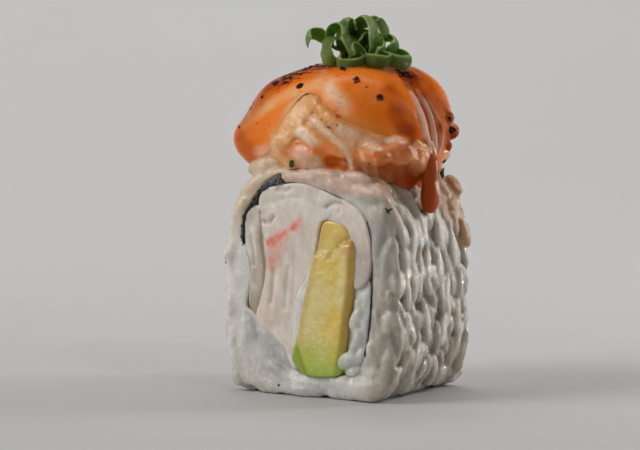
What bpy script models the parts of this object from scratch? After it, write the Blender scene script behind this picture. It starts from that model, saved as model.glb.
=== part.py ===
"""One slice of uramaki roll, standing on its rice edge under a torched seafood topping.

The roll's axis lies along Y and the cut face that shows looks along -Y. +Z is up, and the origin
is on the surface that the slice stands on, under the middle of the rice. Blender units are metres.

The rice ring is a smaller core with its grains fused on. Inside it a thin nori sheet wraps crab
stick, avocado, cream cheese and a little rice, and each of these runs through the whole slice.
On top sit chopped seafood, the thick sauce that covers it and a tangle of spring onion.
"""

import math
import random

import bmesh
import bpy
from mathutils import Euler, Matrix, Vector

MM = 0.001

# Driving dimensions of the slice
SLICE_LENGTH = 26.4 * MM
RICE_WIDTH = 35.6 * MM
RICE_HEIGHT = 40.6 * MM
CORE_SIDES = 56
FOOT_SINK = 0.5 * MM  # how far the round underside is pressed flat
SHOULDER_SQUARENESS = 3.6
LEFT_SHOULDER_SQUARENESS = 3.0
FOOT_SQUARENESS = 5.0

# Cooked rice grains
GRAIN_LENGTH = 6.3 * MM
GRAIN_WIDTH = 3.0 * MM
GRAIN_DEPTH = 2.7 * MM
GRAIN_SINK = 0.35 * MM  # how far a grain's middle lies under the core's surface
GRAIN_PITCH_ALONG = 2.75 * MM
GRAIN_PITCH_ROUND = 5.8 * MM
GRAIN_SLANT = math.radians(14)
GRAIN_TURN = 0.35  # radians either way, drawn for each grain
GRAIN_JITTER = 0.3 * MM
GRAIN_JITTER_ROUND = 0.16  # of a grain's pitch
GRAIN_LIFT = 0.2 * MM  # a grain's lowest point stays this far above what the roll stands on
FOOT_NORMAL_Z = -0.75  # the core faces down this much where it is pressed flat, without grains
GRAIN_CLEAR_OF_TOPPING = 1.75 * MM
GRAIN_END_CLEAR_OF_TOPPING = 0.9 * MM
GRAIN_CLEAR_OF_CUT = 0.95 * MM  # how far a side grain's middle stays from the cut face
CUT_GRAIN_PITCH = 5.6 * MM
CUT_GRAIN_INSET = 2.1 * MM
CUT_GRAIN_STAND = 0.6 * MM
CUT_GRAIN_TURN = math.radians(18)
CUT_GRAIN_TOP = 0.8 * RICE_HEIGHT  # the cut rice is smooth above this
INNER_GRAINS = [(10.9, 17.4), (10.5, 14.0), (10.0, 10.6), (9.2, 8.0)]  # x and z in millimetres
INNER_GRAIN_SIZE = (1.15 * MM, 1.5 * MM, 1.6 * MM)
INNER_GRAIN_DEPTH = 0.9 * MM
RULER_STEPS = 240  # points of the outline along which grains are placed
SMEARED_SIDE_X = -11.0 * MM  # the knife smeared the rice smooth on this side of the cut

GAP = 0.3 * MM
NORI_THICKNESS = 0.36 * MM
CUT_EDGE_ROUND = 0.2 * MM
NORI_STEPS = 4  # points of the smooth curve for each point given below
FILLING_STEPS = 3

# Outlines on the cut face, as (x, z) in millimetres, through which a smooth curve runs
NORI_PATH = [
    (11.6, 8.0), (12.8, 16.0), (12.9, 24.5), (11.3, 31.8), (5.8, 35.2), (-1.0, 37.0), (-7.6, 36.4),
    (-11.9, 32.2), (-13.4, 25.5), (-13.2, 17.5), (-9.0, 10.8), (-3.4, 5.0), (1.2, 3.7), (6.6, 3.8),
]
NORI_LOOP_CLOSE = (10.2, 5.0)  # the sheet is open here, and the rice's hole goes on past it
AVOCADO_OUTLINE = [
    (2.7, 30.0), (5.3, 30.8), (7.9, 29.5), (9.5, 25.0), (9.4, 19.5), (8.4, 12.5),
    (6.9, 5.1), (3.4, 4.4), (-1.3, 5.4), (-2.0, 8.4), (-0.3, 15.0), (1.3, 22.0),
]
CREAM_CHEESE_OUTLINE = [
    (0.8, 21.6), (-0.9, 15.6), (-2.1, 11.8), (-2.8, 8.4), (-2.3, 5.6), (-3.6, 6.9), (-3.9, 9.4),
    (-3.3, 13.0), (-2.3, 16.8), (-0.6, 20.2),
]
CRAB_STICK_OUTLINE = [
    (-6.6, 33.0), (-2.0, 33.7), (2.4, 32.8), (5.2, 31.6), (2.2, 30.6), (0.9, 25.5), (0.0, 21.9),
    (-1.7, 19.2), (-3.4, 15.2), (-4.4, 10.8), (-4.7, 8.0), (-7.8, 11.2), (-9.2, 14.0), (-9.2, 20.0),
    (-8.8, 27.0), (-8.4, 31.5),
]
CRAB_WRAP_OUTLINE = [
    (-8.2, 34.5), (-5.0, 36.0), (-1.0, 36.2), (3.0, 35.3), (7.2, 33.6), (10.4, 31.0), (11.9, 26.5),
    (12.2, 22.6), (10.7, 21.3), (10.4, 25.4), (9.0, 29.8), (6.2, 32.0), (2.6, 33.6), (-2.0, 34.4),
]
CRAB_STRIP_OUTLINE = [
    (-9.2, 33.2), (-11.2, 31.4), (-12.6, 27.4), (-12.7, 22.0), (-12.4, 17.8), (-10.6, 14.0),
    (-9.9, 15.4), (-9.9, 20.5), (-9.6, 27.0),
]
INNER_RICE_OUTLINE = [
    (12.0, 19.8), (10.3, 19.9), (9.5, 14.5), (8.5, 9.6), (8.2, 6.7), (9.4, 5.8), (10.9, 8.0),
    (11.9, 14.0),
]

# Ellipsoids of the topping: centre x, y, z, half-lengths x, y, z in millimetres, then the turn
# about Z and the lean about Y in degrees
SEAFOOD_CHUNKS = [
    (0.0, 0.0, 42.3, 15.6, 12.0, 7.0, 0, 0),
    (-4.0, -9.2, 47.6, 5.6, 3.4, 3.2, 12, -42),
    (-8.6, -9.4, 42.8, 3.4, 2.8, 3.0, 0, 0),
    (-0.4, -12.4, 46.0, 2.7, 2.3, 2.0, 0, 10),
    (0.6, -12.2, 42.6, 3.9, 3.0, 2.8, 0, 0),
    (5.0, -11.4, 46.9, 5.2, 2.4, 1.9, -6, 34),
    (8.6, -12.4, 43.0, 2.2, 2.0, 3.4, 0, -8),
    (12.6, -11.4, 43.4, 3.5, 2.7, 2.4, -20, 8),
    (15.6, -8.6, 44.0, 2.9, 3.2, 2.5, -40, 0),
    (16.8, -3.8, 41.6, 2.5, 3.3, 3.4, 0, 0),
    (16.2, 4.6, 43.2, 2.3, 3.0, 2.8, 0, 0),
    (13.0, 10.0, 41.8, 3.0, 2.6, 2.6, 30, 0),
    (6.0, 13.2, 42.4, 3.8, 2.6, 2.8, 0, 0),
    (-4.0, 13.0, 42.2, 4.0, 2.8, 2.6, 10, 0),
    (-12.6, 10.2, 41.6, 3.4, 3.2, 2.6, -30, 0),
]
SAUCE_LOBES = [
    (-0.5, 0.8, 44.2, 18.6, 14.6, 13.8, 0, 0),
    (-13.2, -3.6, 44.4, 6.6, 8.0, 5.4, 0, 0),
    (-9.0, -1.0, 46.4, 9.6, 9.6, 9.2, 0, 0),
    (6.6, 6.6, 47.6, 9.8, 8.6, 9.8, 0, 0),
    (4.4, -5.0, 49.4, 9.6, 8.4, 7.4, 0, 8),
]
SAUCE_DRIPS = [
    (18.2, -1.4, 38.4, 1.4, 2.2, 5.6, 0, 0),
    (18.2, -1.9, 34.2, 1.3, 2.6, 2.2, 0, 0),
    (15.6, -11.8, 39.4, 2.2, 2.4, 2.9, 40, 0),
    (-17.2, 3.0, 39.6, 1.7, 2.6, 3.6, 0, 0),
    (1.0, 13.6, 39.6, 3.0, 1.4, 3.2, 0, 0),
]
SEAFOOD_VOXEL = 0.75 * MM
SAUCE_VOXEL = 0.85 * MM
SEAFOOD_TRIANGLES = 900
SAUCE_TRIANGLES = 900

# Spring onion: each curl is a strip bent along part of an ellipse. Centre x, y, z, half-lengths
# along and up in millimetres, first and last angle, then turns about X, Y and Z in degrees
ONION_CURLS = [
    (1.2, -1.2, 62.0, 3.2, 3.6, -70, 230, 0, 6, 15),
    (4.4, 0.6, 61.2, 2.9, 3.3, -60, 220, 8, -14, 50),
    (8.2, -1.4, 58.7, 3.6, 2.1, -150, 160, 10, 34, 10),
    (-1.8, -2.6, 60.8, 2.3, 2.8, -80, 200, 0, -10, -25),
    (-3.6, -0.6, 63.4, 3.6, 2.3, 178, 275, -14, 0, 8),
    (-3.0, 1.8, 60.4, 2.2, 2.4, -60, 210, 0, 10, 70),
    (1.4, 3.2, 60.9, 3.0, 2.9, -40, 230, 20, 0, -60),
    (3.6, -3.4, 59.8, 3.2, 2.0, 5, 180, -20, 14, 12),
]
ONION_STRIP_WIDTH = 2.3 * MM
ONION_THICKNESS = 0.5 * MM
ONION_STEPS = 11
ONION_CORE = (1.6, -0.4, 59.6, 5.6, 3.4, 2.9, 6, 12)

COLOURS = {  # linear red, green, blue, then roughness
    "rice": (0.62, 0.60, 0.54, 0.42),
    "nori": (0.012, 0.014, 0.012, 0.55),
    "crab_stick": (0.68, 0.60, 0.52, 0.5),
    "avocado": (0.55, 0.48, 0.09, 0.45),
    "cream_cheese": (0.80, 0.79, 0.74, 0.5),
    "seafood": (0.66, 0.36, 0.20, 0.35),
    "sauce": (0.72, 0.23, 0.03, 0.2),
    "spring_onion": (0.10, 0.24, 0.04, 0.4),
}


def clear_scene():
    for obj in list(bpy.data.objects):
        bpy.data.objects.remove(obj, do_unlink=True)


def new_collection(name):
    collection = bpy.data.collections.new(name)
    bpy.context.scene.collection.children.link(collection)
    return collection


def material(name):
    found = bpy.data.materials.get(name)
    if found:
        return found
    red, green, blue, roughness = COLOURS[name]
    made = bpy.data.materials.new(name)
    made.use_nodes = True
    shader = made.node_tree.nodes["Principled BSDF"]
    shader.inputs["Base Color"].default_value = (red, green, blue, 1)
    shader.inputs["Roughness"].default_value = roughness
    return made


def mesh_object(name, mesh, collection):
    obj = bpy.data.objects.new(name, mesh)
    collection.objects.link(obj)
    return obj


def applied(obj, collection):
    """A plain mesh object that takes the place of obj, with its modifiers or curve settings in it."""
    graph = bpy.context.evaluated_depsgraph_get()
    mesh = bpy.data.meshes.new_from_object(obj.evaluated_get(graph))
    made = bmesh.new()
    made.from_mesh(mesh)
    bmesh.ops.remove_doubles(made, verts=made.verts, dist=0.001 * MM)
    bmesh.ops.recalc_face_normals(made, faces=made.faces)
    made.to_mesh(mesh)
    made.free()
    name, place = obj.name, obj.matrix_world.copy()
    bpy.data.objects.remove(obj, do_unlink=True)
    mesh.name = name
    new = mesh_object(name, mesh, collection)
    new.matrix_world = place
    return new


def finish(obj, material_name, sharp_degrees=40):
    obj.data.materials.clear()
    obj.data.materials.append(material(material_name))
    obj.data.shade_smooth()
    obj.data.set_sharp_from_angle(angle=math.radians(sharp_degrees))


def smooth_points(points, steps):
    """Points of a closed Catmull-Rom curve through the given ones, in metres."""
    knots = [Vector(p) * MM for p in points]
    count = len(knots)
    found = []
    for i in range(count):
        a, b, c, d = (knots[(i + k) % count] for k in (-1, 0, 1, 2))
        for step in range(steps):
            t = step / steps
            found.append(
                0.5 * (2 * b + (c - a) * t + (2 * a - 5 * b + 4 * c - d) * t * t
                       + (3 * b - a - 3 * c + d) * t * t * t)
            )
    return found


def roll_outline(steps, grow=0.0):
    """The rice core's outline: a squarish oval, pressed flat at z = 0. It runs anticlockwise."""
    half_width, half_height = RICE_WIDTH / 2 + grow, RICE_HEIGHT / 2 + grow
    points = []
    for i in range(steps):
        angle = 2 * math.pi * i / steps
        c, s = math.cos(angle), math.sin(angle)
        shoulder = SHOULDER_SQUARENESS if c > 0 else LEFT_SHOULDER_SQUARENESS
        power = 2 / (shoulder if s > 0 else FOOT_SQUARENESS)
        x = math.copysign(abs(c) ** power, c) * half_width
        z = math.copysign(abs(s) ** power, s) * half_height + RICE_HEIGHT / 2 - FOOT_SINK
        points.append(Vector((x, max(z, 0.0) if grow == 0.0 else z)))
    return even_points(points, steps)


def even_points(points, count):
    """The same closed outline with its points spaced evenly along it."""
    ring = points + [points[0]]
    lengths = [(b - a).length for a, b in zip(ring, ring[1:])]
    total = sum(lengths)
    found, index, passed = [], 0, 0.0
    for i in range(count):
        wanted = total * i / count
        while passed + lengths[index] < wanted:
            passed += lengths[index]
            index += 1
        found.append(ring[index].lerp(ring[index + 1], (wanted - passed) / lengths[index]))
    return found


def moved_out(points, distance):
    """An anticlockwise closed outline with each point moved out along its normal."""
    count = len(points)
    found = []
    for i, point in enumerate(points):
        along = (points[(i + 1) % count] - points[i - 1]).normalized()
        found.append(point + Vector((along.y, -along.x)) * distance)
    return found


def through_roll(name, outlines, length, collection, edge=0.0):
    """A flat outline, with its holes, pulled along the roll's axis."""
    curve = bpy.data.curves.new(name, "CURVE")
    curve.dimensions = "2D"
    curve.fill_mode = "BOTH"
    curve.extrude = length / 2 - edge
    curve.bevel_depth = edge
    curve.bevel_resolution = 0
    curve.offset = -edge
    for outline in outlines:
        spline = curve.splines.new("POLY")
        spline.points.add(len(outline) - 1)
        for point, place in zip(spline.points, outline):
            point.co = (place.x, place.y, 0, 1)
        spline.use_cyclic_u = True
    obj = bpy.data.objects.new(name, curve)
    collection.objects.link(obj)
    obj.rotation_euler = (math.pi / 2, 0, 0)  # the curve's own plane stands up as X and Z
    bpy.context.view_layer.update()
    return obj


def ellipsoid(name, size, place, collection, segments=6, rings=4):
    """A closed low-sided ellipsoid: size holds its half-lengths, and place is its matrix."""
    made = bmesh.new()
    bmesh.ops.create_uvsphere(made, u_segments=segments, v_segments=rings, radius=1)
    bmesh.ops.transform(made, matrix=place @ Matrix.Diagonal((*size, 1)), verts=made.verts)
    mesh = bpy.data.meshes.new(name)
    made.to_mesh(mesh)
    made.free()
    return mesh_object(name, mesh, collection)


def join(base, pieces, home):
    """One Boolean union of base with everything in the collection pieces, applied."""
    union = base.modifiers.new("join", "BOOLEAN")
    union.operation = "UNION"
    union.operand_type = "COLLECTION"
    union.collection = pieces
    union.solver = "EXACT"
    joined = applied(base, home)
    for piece in list(pieces.objects):
        bpy.data.objects.remove(piece, do_unlink=True)
    bpy.data.collections.remove(pieces)
    return joined


def cut(base, cutter, home):
    """base with the cutter's space taken out of it, applied."""
    difference = base.modifiers.new("cut", "BOOLEAN")
    difference.operation = "DIFFERENCE"
    difference.object = cutter
    difference.solver = "EXACT"
    return applied(base, home)


def grown_copy(obj, distance, cutters):
    """A cutter a little larger than obj, so that what it cuts stays clear of it."""
    mesh = obj.data.copy()
    made = bmesh.new()
    made.from_mesh(mesh)
    made.normal_update()
    for vert in made.verts:
        vert.co += vert.normal * distance * max(1.0, vert.calc_shell_factor())
    made.to_mesh(mesh)
    made.free()
    grown = mesh_object("grown_" + obj.name, mesh, cutters)
    grown.matrix_world = obj.matrix_world
    return grown


def largest_body(obj):
    """Leaves only the largest connected body of a mesh, so that no loose scrap stays."""
    made = bmesh.new()
    made.from_mesh(obj.data)
    left = set(made.verts)
    bodies = []
    while left:
        body, front = set(), [left.pop()]
        while front:
            vert = front.pop()
            body.add(vert)
            for edge in vert.link_edges:
                other = edge.other_vert(vert)
                if other in left:
                    left.remove(other)
                    front.append(other)
        bodies.append(body)
    bodies.sort(key=len)
    scraps = [vert for body in bodies[:-1] for vert in body]
    bmesh.ops.delete(made, geom=scraps, context="VERTS")
    made.to_mesh(obj.data)
    made.free()
    return obj


def blob_matrix(blob):
    """Where an ellipsoid of the topping stands, from its row of millimetres and degrees."""
    x, y, z, _, _, _, turn, lean = blob
    return Matrix.Translation(Vector((x, y, z)) * MM) @ Euler(
        (0, math.radians(lean), math.radians(turn))).to_matrix().to_4x4()


def inside_blob(point, blob, margin):
    """Whether a point lies in an ellipsoid of the topping, or within margin of it."""
    size = [s * MM + margin for s in blob[3:6]]
    local = blob_matrix(blob).inverted() @ point
    return sum((local[i] / size[i]) ** 2 for i in range(3)) < 1


def under_topping(middle, long_way):
    """Whether a grain with this middle and direction would reach into the topping."""
    reach = long_way * GRAIN_LENGTH * 0.45
    places = [
        (middle, GRAIN_CLEAR_OF_TOPPING),
        (middle + reach, GRAIN_END_CLEAR_OF_TOPPING),
        (middle - reach, GRAIN_END_CLEAR_OF_TOPPING),
    ]
    blobs = SEAFOOD_CHUNKS + SAUCE_LOBES + SAUCE_DRIPS
    return any(inside_blob(point, blob, margin) for point, margin in places for blob in blobs)


def soft_blobs(name, blobs, voxel, triangles, home):
    """Ellipsoids melted into one soft closed form with about the given number of triangles."""
    base, *others = [
        ellipsoid(f"{name}_{i}", [s * MM for s in blob[3:6]], blob_matrix(blob), home, 20, 12)
        for i, blob in enumerate(blobs)
    ]
    made = bmesh.new()
    made.from_mesh(base.data)
    for other in others:
        made.from_mesh(other.data)
        bpy.data.objects.remove(other, do_unlink=True)
    made.to_mesh(base.data)
    made.free()
    melt = base.modifiers.new("melt", "REMESH")
    melt.mode = "VOXEL"
    melt.voxel_size = voxel
    soften = base.modifiers.new("soften", "SMOOTH")
    soften.factor = 0.5
    soften.iterations = 3
    base.name = name
    base = applied(base, home)
    thin = base.modifiers.new("thin", "DECIMATE")
    thin.ratio = triangles / (2 * len(base.data.polygons))
    return applied(base, home)


def grain(name, middle, long_way, out_way, draw, pieces):
    """A rice grain round its middle, lying along long_way with its flatter side facing out_way."""
    side = out_way.cross(long_way).normalized()
    long_way = side.cross(out_way).normalized()
    turn = Matrix((side, out_way, long_way)).transposed().to_4x4()
    size = [
        GRAIN_WIDTH / 2 * draw.uniform(0.92, 1.12),
        GRAIN_DEPTH / 2 * draw.uniform(0.92, 1.08),
        GRAIN_LENGTH / 2 * draw.uniform(0.86, 1.1),
    ]
    obj = ellipsoid(name, size, Matrix.Translation(middle) @ turn, pieces)
    lowest = min(vert.co.z for vert in obj.data.vertices)
    obj.data.transform(Matrix.Translation((0, 0, max(0.0, GRAIN_LIFT - lowest))))


def side_grains(pieces):
    """Grains round the roll's outer face, in staggered rows that follow its curve."""
    draw = random.Random(11)
    core = roll_outline(RULER_STEPS)
    count = len(core)
    perimeter = sum((core[i] - core[i - 1]).length for i in range(count))
    rows = round(perimeter / GRAIN_PITCH_ROUND)
    columns = int(SLICE_LENGTH / GRAIN_PITCH_ALONG)
    for column in range(columns):
        y = (column / (columns - 1) - 0.5) * (SLICE_LENGTH - 2 * GRAIN_CLEAR_OF_CUT)
        for row in range(rows):
            drift = draw.uniform(-GRAIN_JITTER_ROUND, GRAIN_JITTER_ROUND)
            index = int((row + 0.5 * (column % 2) + drift) / rows * count) % count
            along = (core[(index + 2) % count] - core[index - 2]).normalized()
            out_way = Vector((along.y, 0, -along.x))
            shift = draw.uniform(-GRAIN_JITTER, GRAIN_JITTER)
            middle = Vector((core[index].x, y + shift, core[index].y))
            middle -= out_way * (GRAIN_SINK + draw.uniform(-0.8, 0.8) * GRAIN_JITTER)
            slant = GRAIN_SLANT + draw.uniform(-GRAIN_TURN, GRAIN_TURN)
            long_way = Vector((along.x, 0, along.y)) * math.cos(slant)
            long_way += Vector((0, math.sin(slant), 0))
            if out_way.z < FOOT_NORMAL_Z or under_topping(middle, long_way):
                continue
            grain(f"grain_{column}_{row}", middle, long_way, out_way, draw, pieces)


def clear_of_nori(middle, long_way):
    """Whether a grain that lies flat on a cut face stays off the hole that holds the nori."""
    loop = nori_loop()
    for share in (-1, -0.5, 0, 0.5, 1):
        point = middle + long_way * GRAIN_LENGTH / 2 * share
        keep_off = GRAIN_WIDTH / 2 * math.sqrt(1 - 0.8 * share * share) + GAP + NORI_THICKNESS / 2
        if min((Vector((point.x, point.z)) - knot).length for knot in loop) < keep_off:
            return False
    return True


def cut_grains(pieces):
    """Low bumps where the knife passed grains on the two cut faces."""
    draw = random.Random(23)
    middle_line = moved_out(roll_outline(RULER_STEPS), -CUT_GRAIN_INSET)
    count = len(middle_line)
    perimeter = sum((middle_line[i] - middle_line[i - 1]).length for i in range(count))
    for face in (-1, 1):
        for i in range(round(perimeter / CUT_GRAIN_PITCH)):
            index = round(i * CUT_GRAIN_PITCH / perimeter * count) % count
            place = middle_line[index]
            if place.x < SMEARED_SIDE_X or place.y > CUT_GRAIN_TOP:
                continue
            stand = GRAIN_DEPTH / 2 - CUT_GRAIN_STAND * draw.uniform(0.7, 1.3)
            middle = Vector((place.x, face * (SLICE_LENGTH / 2 - stand), place.y))
            along = middle_line[(index + 2) % count] - middle_line[index - 2]
            angle = math.atan2(along.y, along.x) + draw.uniform(-CUT_GRAIN_TURN, CUT_GRAIN_TURN)
            long_way = Vector((math.cos(angle), 0, math.sin(angle)))
            if not clear_of_nori(middle, long_way):
                continue
            grain(f"cut_grain_{face}_{i}", middle, long_way, Vector((0, face, 0)), draw, pieces)


def rice_ring(home):
    """The outer rice: a core with a hole for the nori, and the grains fused on it."""
    hole = moved_out(nori_loop(), NORI_THICKNESS / 2 + GAP)
    core = through_roll("rice_outer", [roll_outline(CORE_SIDES), hole], SLICE_LENGTH, home)
    core = applied(core, home)
    pieces = new_collection("rice_grains")
    side_grains(pieces)
    cut_grains(pieces)
    ring = largest_body(join(core, pieces, home))
    finish(ring, "rice", 60)


def nori_loop():
    """The closed curve that the nori follows, from the sheet's first edge."""
    return smooth_points(NORI_PATH + [NORI_LOOP_CLOSE], NORI_STEPS)


def nori_sheet(home):
    """The nori: a ribbon that stops short of closing the loop, given its thickness by Solidify."""
    path = nori_loop()[:NORI_STEPS * (len(NORI_PATH) - 1) + 1]
    made = bmesh.new()
    half = SLICE_LENGTH / 2
    columns = [[made.verts.new((p.x, y, p.y)) for y in (-half, half)] for p in path]
    for first, second in zip(columns, columns[1:]):
        made.faces.new((first[0], first[1], second[1], second[0]))
    mesh = bpy.data.meshes.new("nori_sheet")
    made.to_mesh(mesh)
    made.free()
    sheet = mesh_object("nori_sheet", mesh, home)
    shell = sheet.modifiers.new("thickness", "SOLIDIFY")
    shell.thickness = NORI_THICKNESS
    shell.offset = 0
    finish(sheet, "nori")


def filling(name, outline, stand, material_name, home):
    """A filling that runs through the slice and stands a little proud of both cut faces."""
    piece = through_roll(
        name, [smooth_points(outline, FILLING_STEPS)], SLICE_LENGTH + 2 * stand, home,
        CUT_EDGE_ROUND)
    finish(applied(piece, home), material_name)


def inner_rice(home):
    """The rice that got inside the nori, beside the avocado, with the grains at its two ends."""
    core = through_roll(
        "rice_inner", [smooth_points(INNER_RICE_OUTLINE, FILLING_STEPS)], SLICE_LENGTH, home)
    core = applied(core, home)
    pieces = new_collection("inner_grains")
    draw = random.Random(5)
    for face in (-1, 1):
        for i, (x, z) in enumerate(INNER_GRAINS):
            middle = Vector((x * MM, face * (SLICE_LENGTH / 2 - INNER_GRAIN_DEPTH), z * MM))
            long_way = Vector((0.25, face, draw.uniform(-0.3, 0.3)))
            turn = long_way.to_track_quat("Y", "Z").to_matrix().to_4x4()
            place = Matrix.Translation(middle) @ turn
            ellipsoid(f"inner_grain_{face}_{i}", INNER_GRAIN_SIZE, place, pieces)
    finish(largest_body(join(core, pieces, home)), "rice", 60)


def onion_strip(name, curl, collection):
    """One curl of spring onion: a strip bent along part of an ellipse, with its thickness."""
    x, y, z, along, up, first, last, turn_x, turn_y, turn_z = curl
    place = Matrix.Translation(Vector((x, y, z)) * MM) @ Euler(
        [math.radians(a) for a in (turn_x, turn_y, turn_z)]).to_matrix().to_4x4()
    made = bmesh.new()
    columns = []
    for i in range(ONION_STEPS):
        share = i / (ONION_STEPS - 1)
        angle = math.radians(first + (last - first) * share)
        half = ONION_STRIP_WIDTH / 2 * (0.8 + 0.2 * math.sin(math.pi * share))
        bent = Vector((math.cos(angle) * along * MM, 0, math.sin(angle) * up * MM))
        columns.append([
            made.verts.new(place @ (bent + Vector((0, side * half, 0)))) for side in (-1, 1)])
    for one, two in zip(columns, columns[1:]):
        made.faces.new((one[0], one[1], two[1], two[0]))
    mesh = bpy.data.meshes.new(name)
    made.to_mesh(mesh)
    made.free()
    strip = mesh_object(name, mesh, collection)
    shell = strip.modifiers.new("thickness", "SOLIDIFY")
    shell.thickness = ONION_THICKNESS
    shell.offset = 0
    return applied(strip, collection)


def spring_onion(sauce, home, cutters):
    """The tangle of curls, joined through a small core and clear of the sauce below."""
    size = [s * MM for s in ONION_CORE[3:6]]
    core = ellipsoid("spring_onion", size, blob_matrix(ONION_CORE), home, 12, 8)
    pieces = new_collection("onion_curls")
    for i, curl in enumerate(ONION_CURLS):
        onion_strip(f"curl_{i}", curl, pieces)
    tangle = join(core, pieces, home)
    tangle = largest_body(cut(tangle, grown_copy(sauce, GAP, cutters), home))
    finish(tangle, "spring_onion")


def topping(home, cutters):
    """Seafood, then the sauce over it, each kept clear of the rice and of the other."""
    rest_on = through_roll(
        "rice_clearance", [roll_outline(CORE_SIDES, GAP)], SLICE_LENGTH * 3, cutters)
    rest_on = applied(rest_on, cutters)
    seafood = soft_blobs("seafood", SEAFOOD_CHUNKS, SEAFOOD_VOXEL, SEAFOOD_TRIANGLES, home)
    seafood = largest_body(cut(seafood, rest_on, home))
    sauce = soft_blobs("sauce", SAUCE_LOBES + SAUCE_DRIPS, SAUCE_VOXEL, SAUCE_TRIANGLES, home)
    sauce = cut(sauce, rest_on, home)
    sauce = largest_body(cut(sauce, grown_copy(seafood, GAP, cutters), home))
    finish(seafood, "seafood")
    finish(sauce, "sauce")
    return sauce


def hide_cutters(cutters):
    for obj in cutters.objects:
        obj.hide_render = True
        obj.display_type = "WIRE"


def build():
    clear_scene()
    home = new_collection("uramaki_roll")
    cutters = new_collection("cutters")
    rice_ring(home)
    nori_sheet(home)
    filling("avocado", AVOCADO_OUTLINE, 0.35 * MM, "avocado", home)
    filling("cream_cheese", CREAM_CHEESE_OUTLINE, 0.1 * MM, "cream_cheese", home)
    filling("crab_stick", CRAB_STICK_OUTLINE, 0.2 * MM, "crab_stick", home)
    filling("crab_wrap", CRAB_WRAP_OUTLINE, 0.0, "crab_stick", home)
    filling("crab_strip", CRAB_STRIP_OUTLINE, 0.1 * MM, "crab_stick", home)
    inner_rice(home)
    sauce = topping(home, cutters)
    spring_onion(sauce, home, cutters)
    hide_cutters(cutters)


build()
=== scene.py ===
"""The looks of one slice of uramaki roll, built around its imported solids.

The lengths in this script are in millimetres until a mesh is made, and the frame is the solids'
own: +Z up, the roll's axis along Y, the shown cut face at -Y, the origin under the rice.
Soft, melted-together forms are signed distance fields, meshed once; fillings are cut prisms whose
two faces carry their own relief. Every random draw is seeded. Where facing is -1, what the photo
shows in front is repeated at the back.
"""

import math

import bmesh
import bpy
import numpy as np
from mathutils import Euler, Matrix, Vector
from mathutils.geometry import delaunay_2d_cdt


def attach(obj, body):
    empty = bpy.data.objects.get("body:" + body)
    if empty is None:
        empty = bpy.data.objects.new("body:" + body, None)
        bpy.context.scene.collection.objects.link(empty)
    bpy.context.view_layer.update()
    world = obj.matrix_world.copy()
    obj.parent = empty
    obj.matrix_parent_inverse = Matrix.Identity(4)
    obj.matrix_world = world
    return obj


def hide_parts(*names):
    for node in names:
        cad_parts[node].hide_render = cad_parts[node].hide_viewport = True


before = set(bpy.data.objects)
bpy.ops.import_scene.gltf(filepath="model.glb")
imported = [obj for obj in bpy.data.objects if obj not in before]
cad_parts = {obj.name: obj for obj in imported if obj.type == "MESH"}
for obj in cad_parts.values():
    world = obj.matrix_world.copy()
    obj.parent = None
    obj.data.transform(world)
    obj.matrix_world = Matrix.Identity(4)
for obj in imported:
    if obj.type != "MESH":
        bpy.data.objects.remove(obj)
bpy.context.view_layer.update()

MM = 0.001

# The slice
HALF_LENGTH = 13.2
HALF_WIDTH = 17.8
HEIGHT = 40.6
FOOT_SINK = 0.5
SHOULDER_SQUARENESS = 3.6
LEFT_SHOULDER_SQUARENESS = 3.0
FOOT_SQUARENESS = 5.0

# The photograph's camera
VIEW_AZIMUTH = math.radians(32)
VIEW_ELEVATION = math.radians(4.5)
VIEW_DISTANCE = 450.0
VIEW_LENS = 143.0
VIEW_AIM = np.array((-3.98, -2.49, 29.11))
SENSOR = 36.0
FRAME_WIDTH, FRAME_HEIGHT = 640, 450
FRAME_SCALE = VIEW_LENS / SENSOR * FRAME_WIDTH
VIEW_BACK = np.array((
    math.sin(VIEW_AZIMUTH) * math.cos(VIEW_ELEVATION),
    -math.cos(VIEW_AZIMUTH) * math.cos(VIEW_ELEVATION),
    math.sin(VIEW_ELEVATION),
))
VIEW_RIGHT = np.array((math.cos(VIEW_AZIMUTH), math.sin(VIEW_AZIMUTH), 0.0))
VIEW_UP = np.cross(VIEW_BACK, VIEW_RIGHT)
VIEW_PLACE = VIEW_AIM + VIEW_BACK * VIEW_DISTANCE


def in_frame(places):
    """Where the camera's 640 x 450 frame shows places, and how far they are towards the camera."""
    offset = np.asarray(places, float) - VIEW_PLACE
    depth = -(offset @ VIEW_BACK)
    across = FRAME_WIDTH / 2 + FRAME_SCALE * (offset @ VIEW_RIGHT) / depth
    down = FRAME_HEIGHT / 2 - FRAME_SCALE * (offset @ VIEW_UP) / depth
    return across, down, VIEW_DISTANCE - depth


def sight_line(across, down, near):
    """Places along the line of sight through a spot of the frame, near millimetres this side."""
    ray = (VIEW_RIGHT * (across - FRAME_WIDTH / 2) + VIEW_UP * (FRAME_HEIGHT / 2 - down)) / FRAME_SCALE
    depth = VIEW_DISTANCE - np.asarray(near, float)
    return VIEW_PLACE + (ray - VIEW_BACK) * depth[..., None]


# Numbers and noise

def ramp(value, low, high):
    """0 below low, 1 above high and a soft step between them."""
    t = np.clip((value - low) / (high - low), 0.0, 1.0)
    return t * t * (3 - 2 * t)


def mix(a, b, share):
    """Blends two colours, or arrays of them, by an array of shares."""
    share = np.asarray(share)[..., None]
    return np.asarray(a) * (1 - share) + np.asarray(b) * share


def layered(colour, *layers):
    """A colour with others laid over it one by one, each given with its share."""
    for tone, share in layers:
        colour = mix(colour, tone, share)
    return colour


def bell(distance, width):
    """1 at no distance, falling off softly over about the width."""
    return np.exp(-((distance / width) ** 2))


def turned(places, facing):
    """The places as they are, or, where facing is -1, after half a turn about the roll's upright."""
    return np.asarray(places) * (facing, facing, 1)


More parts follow.
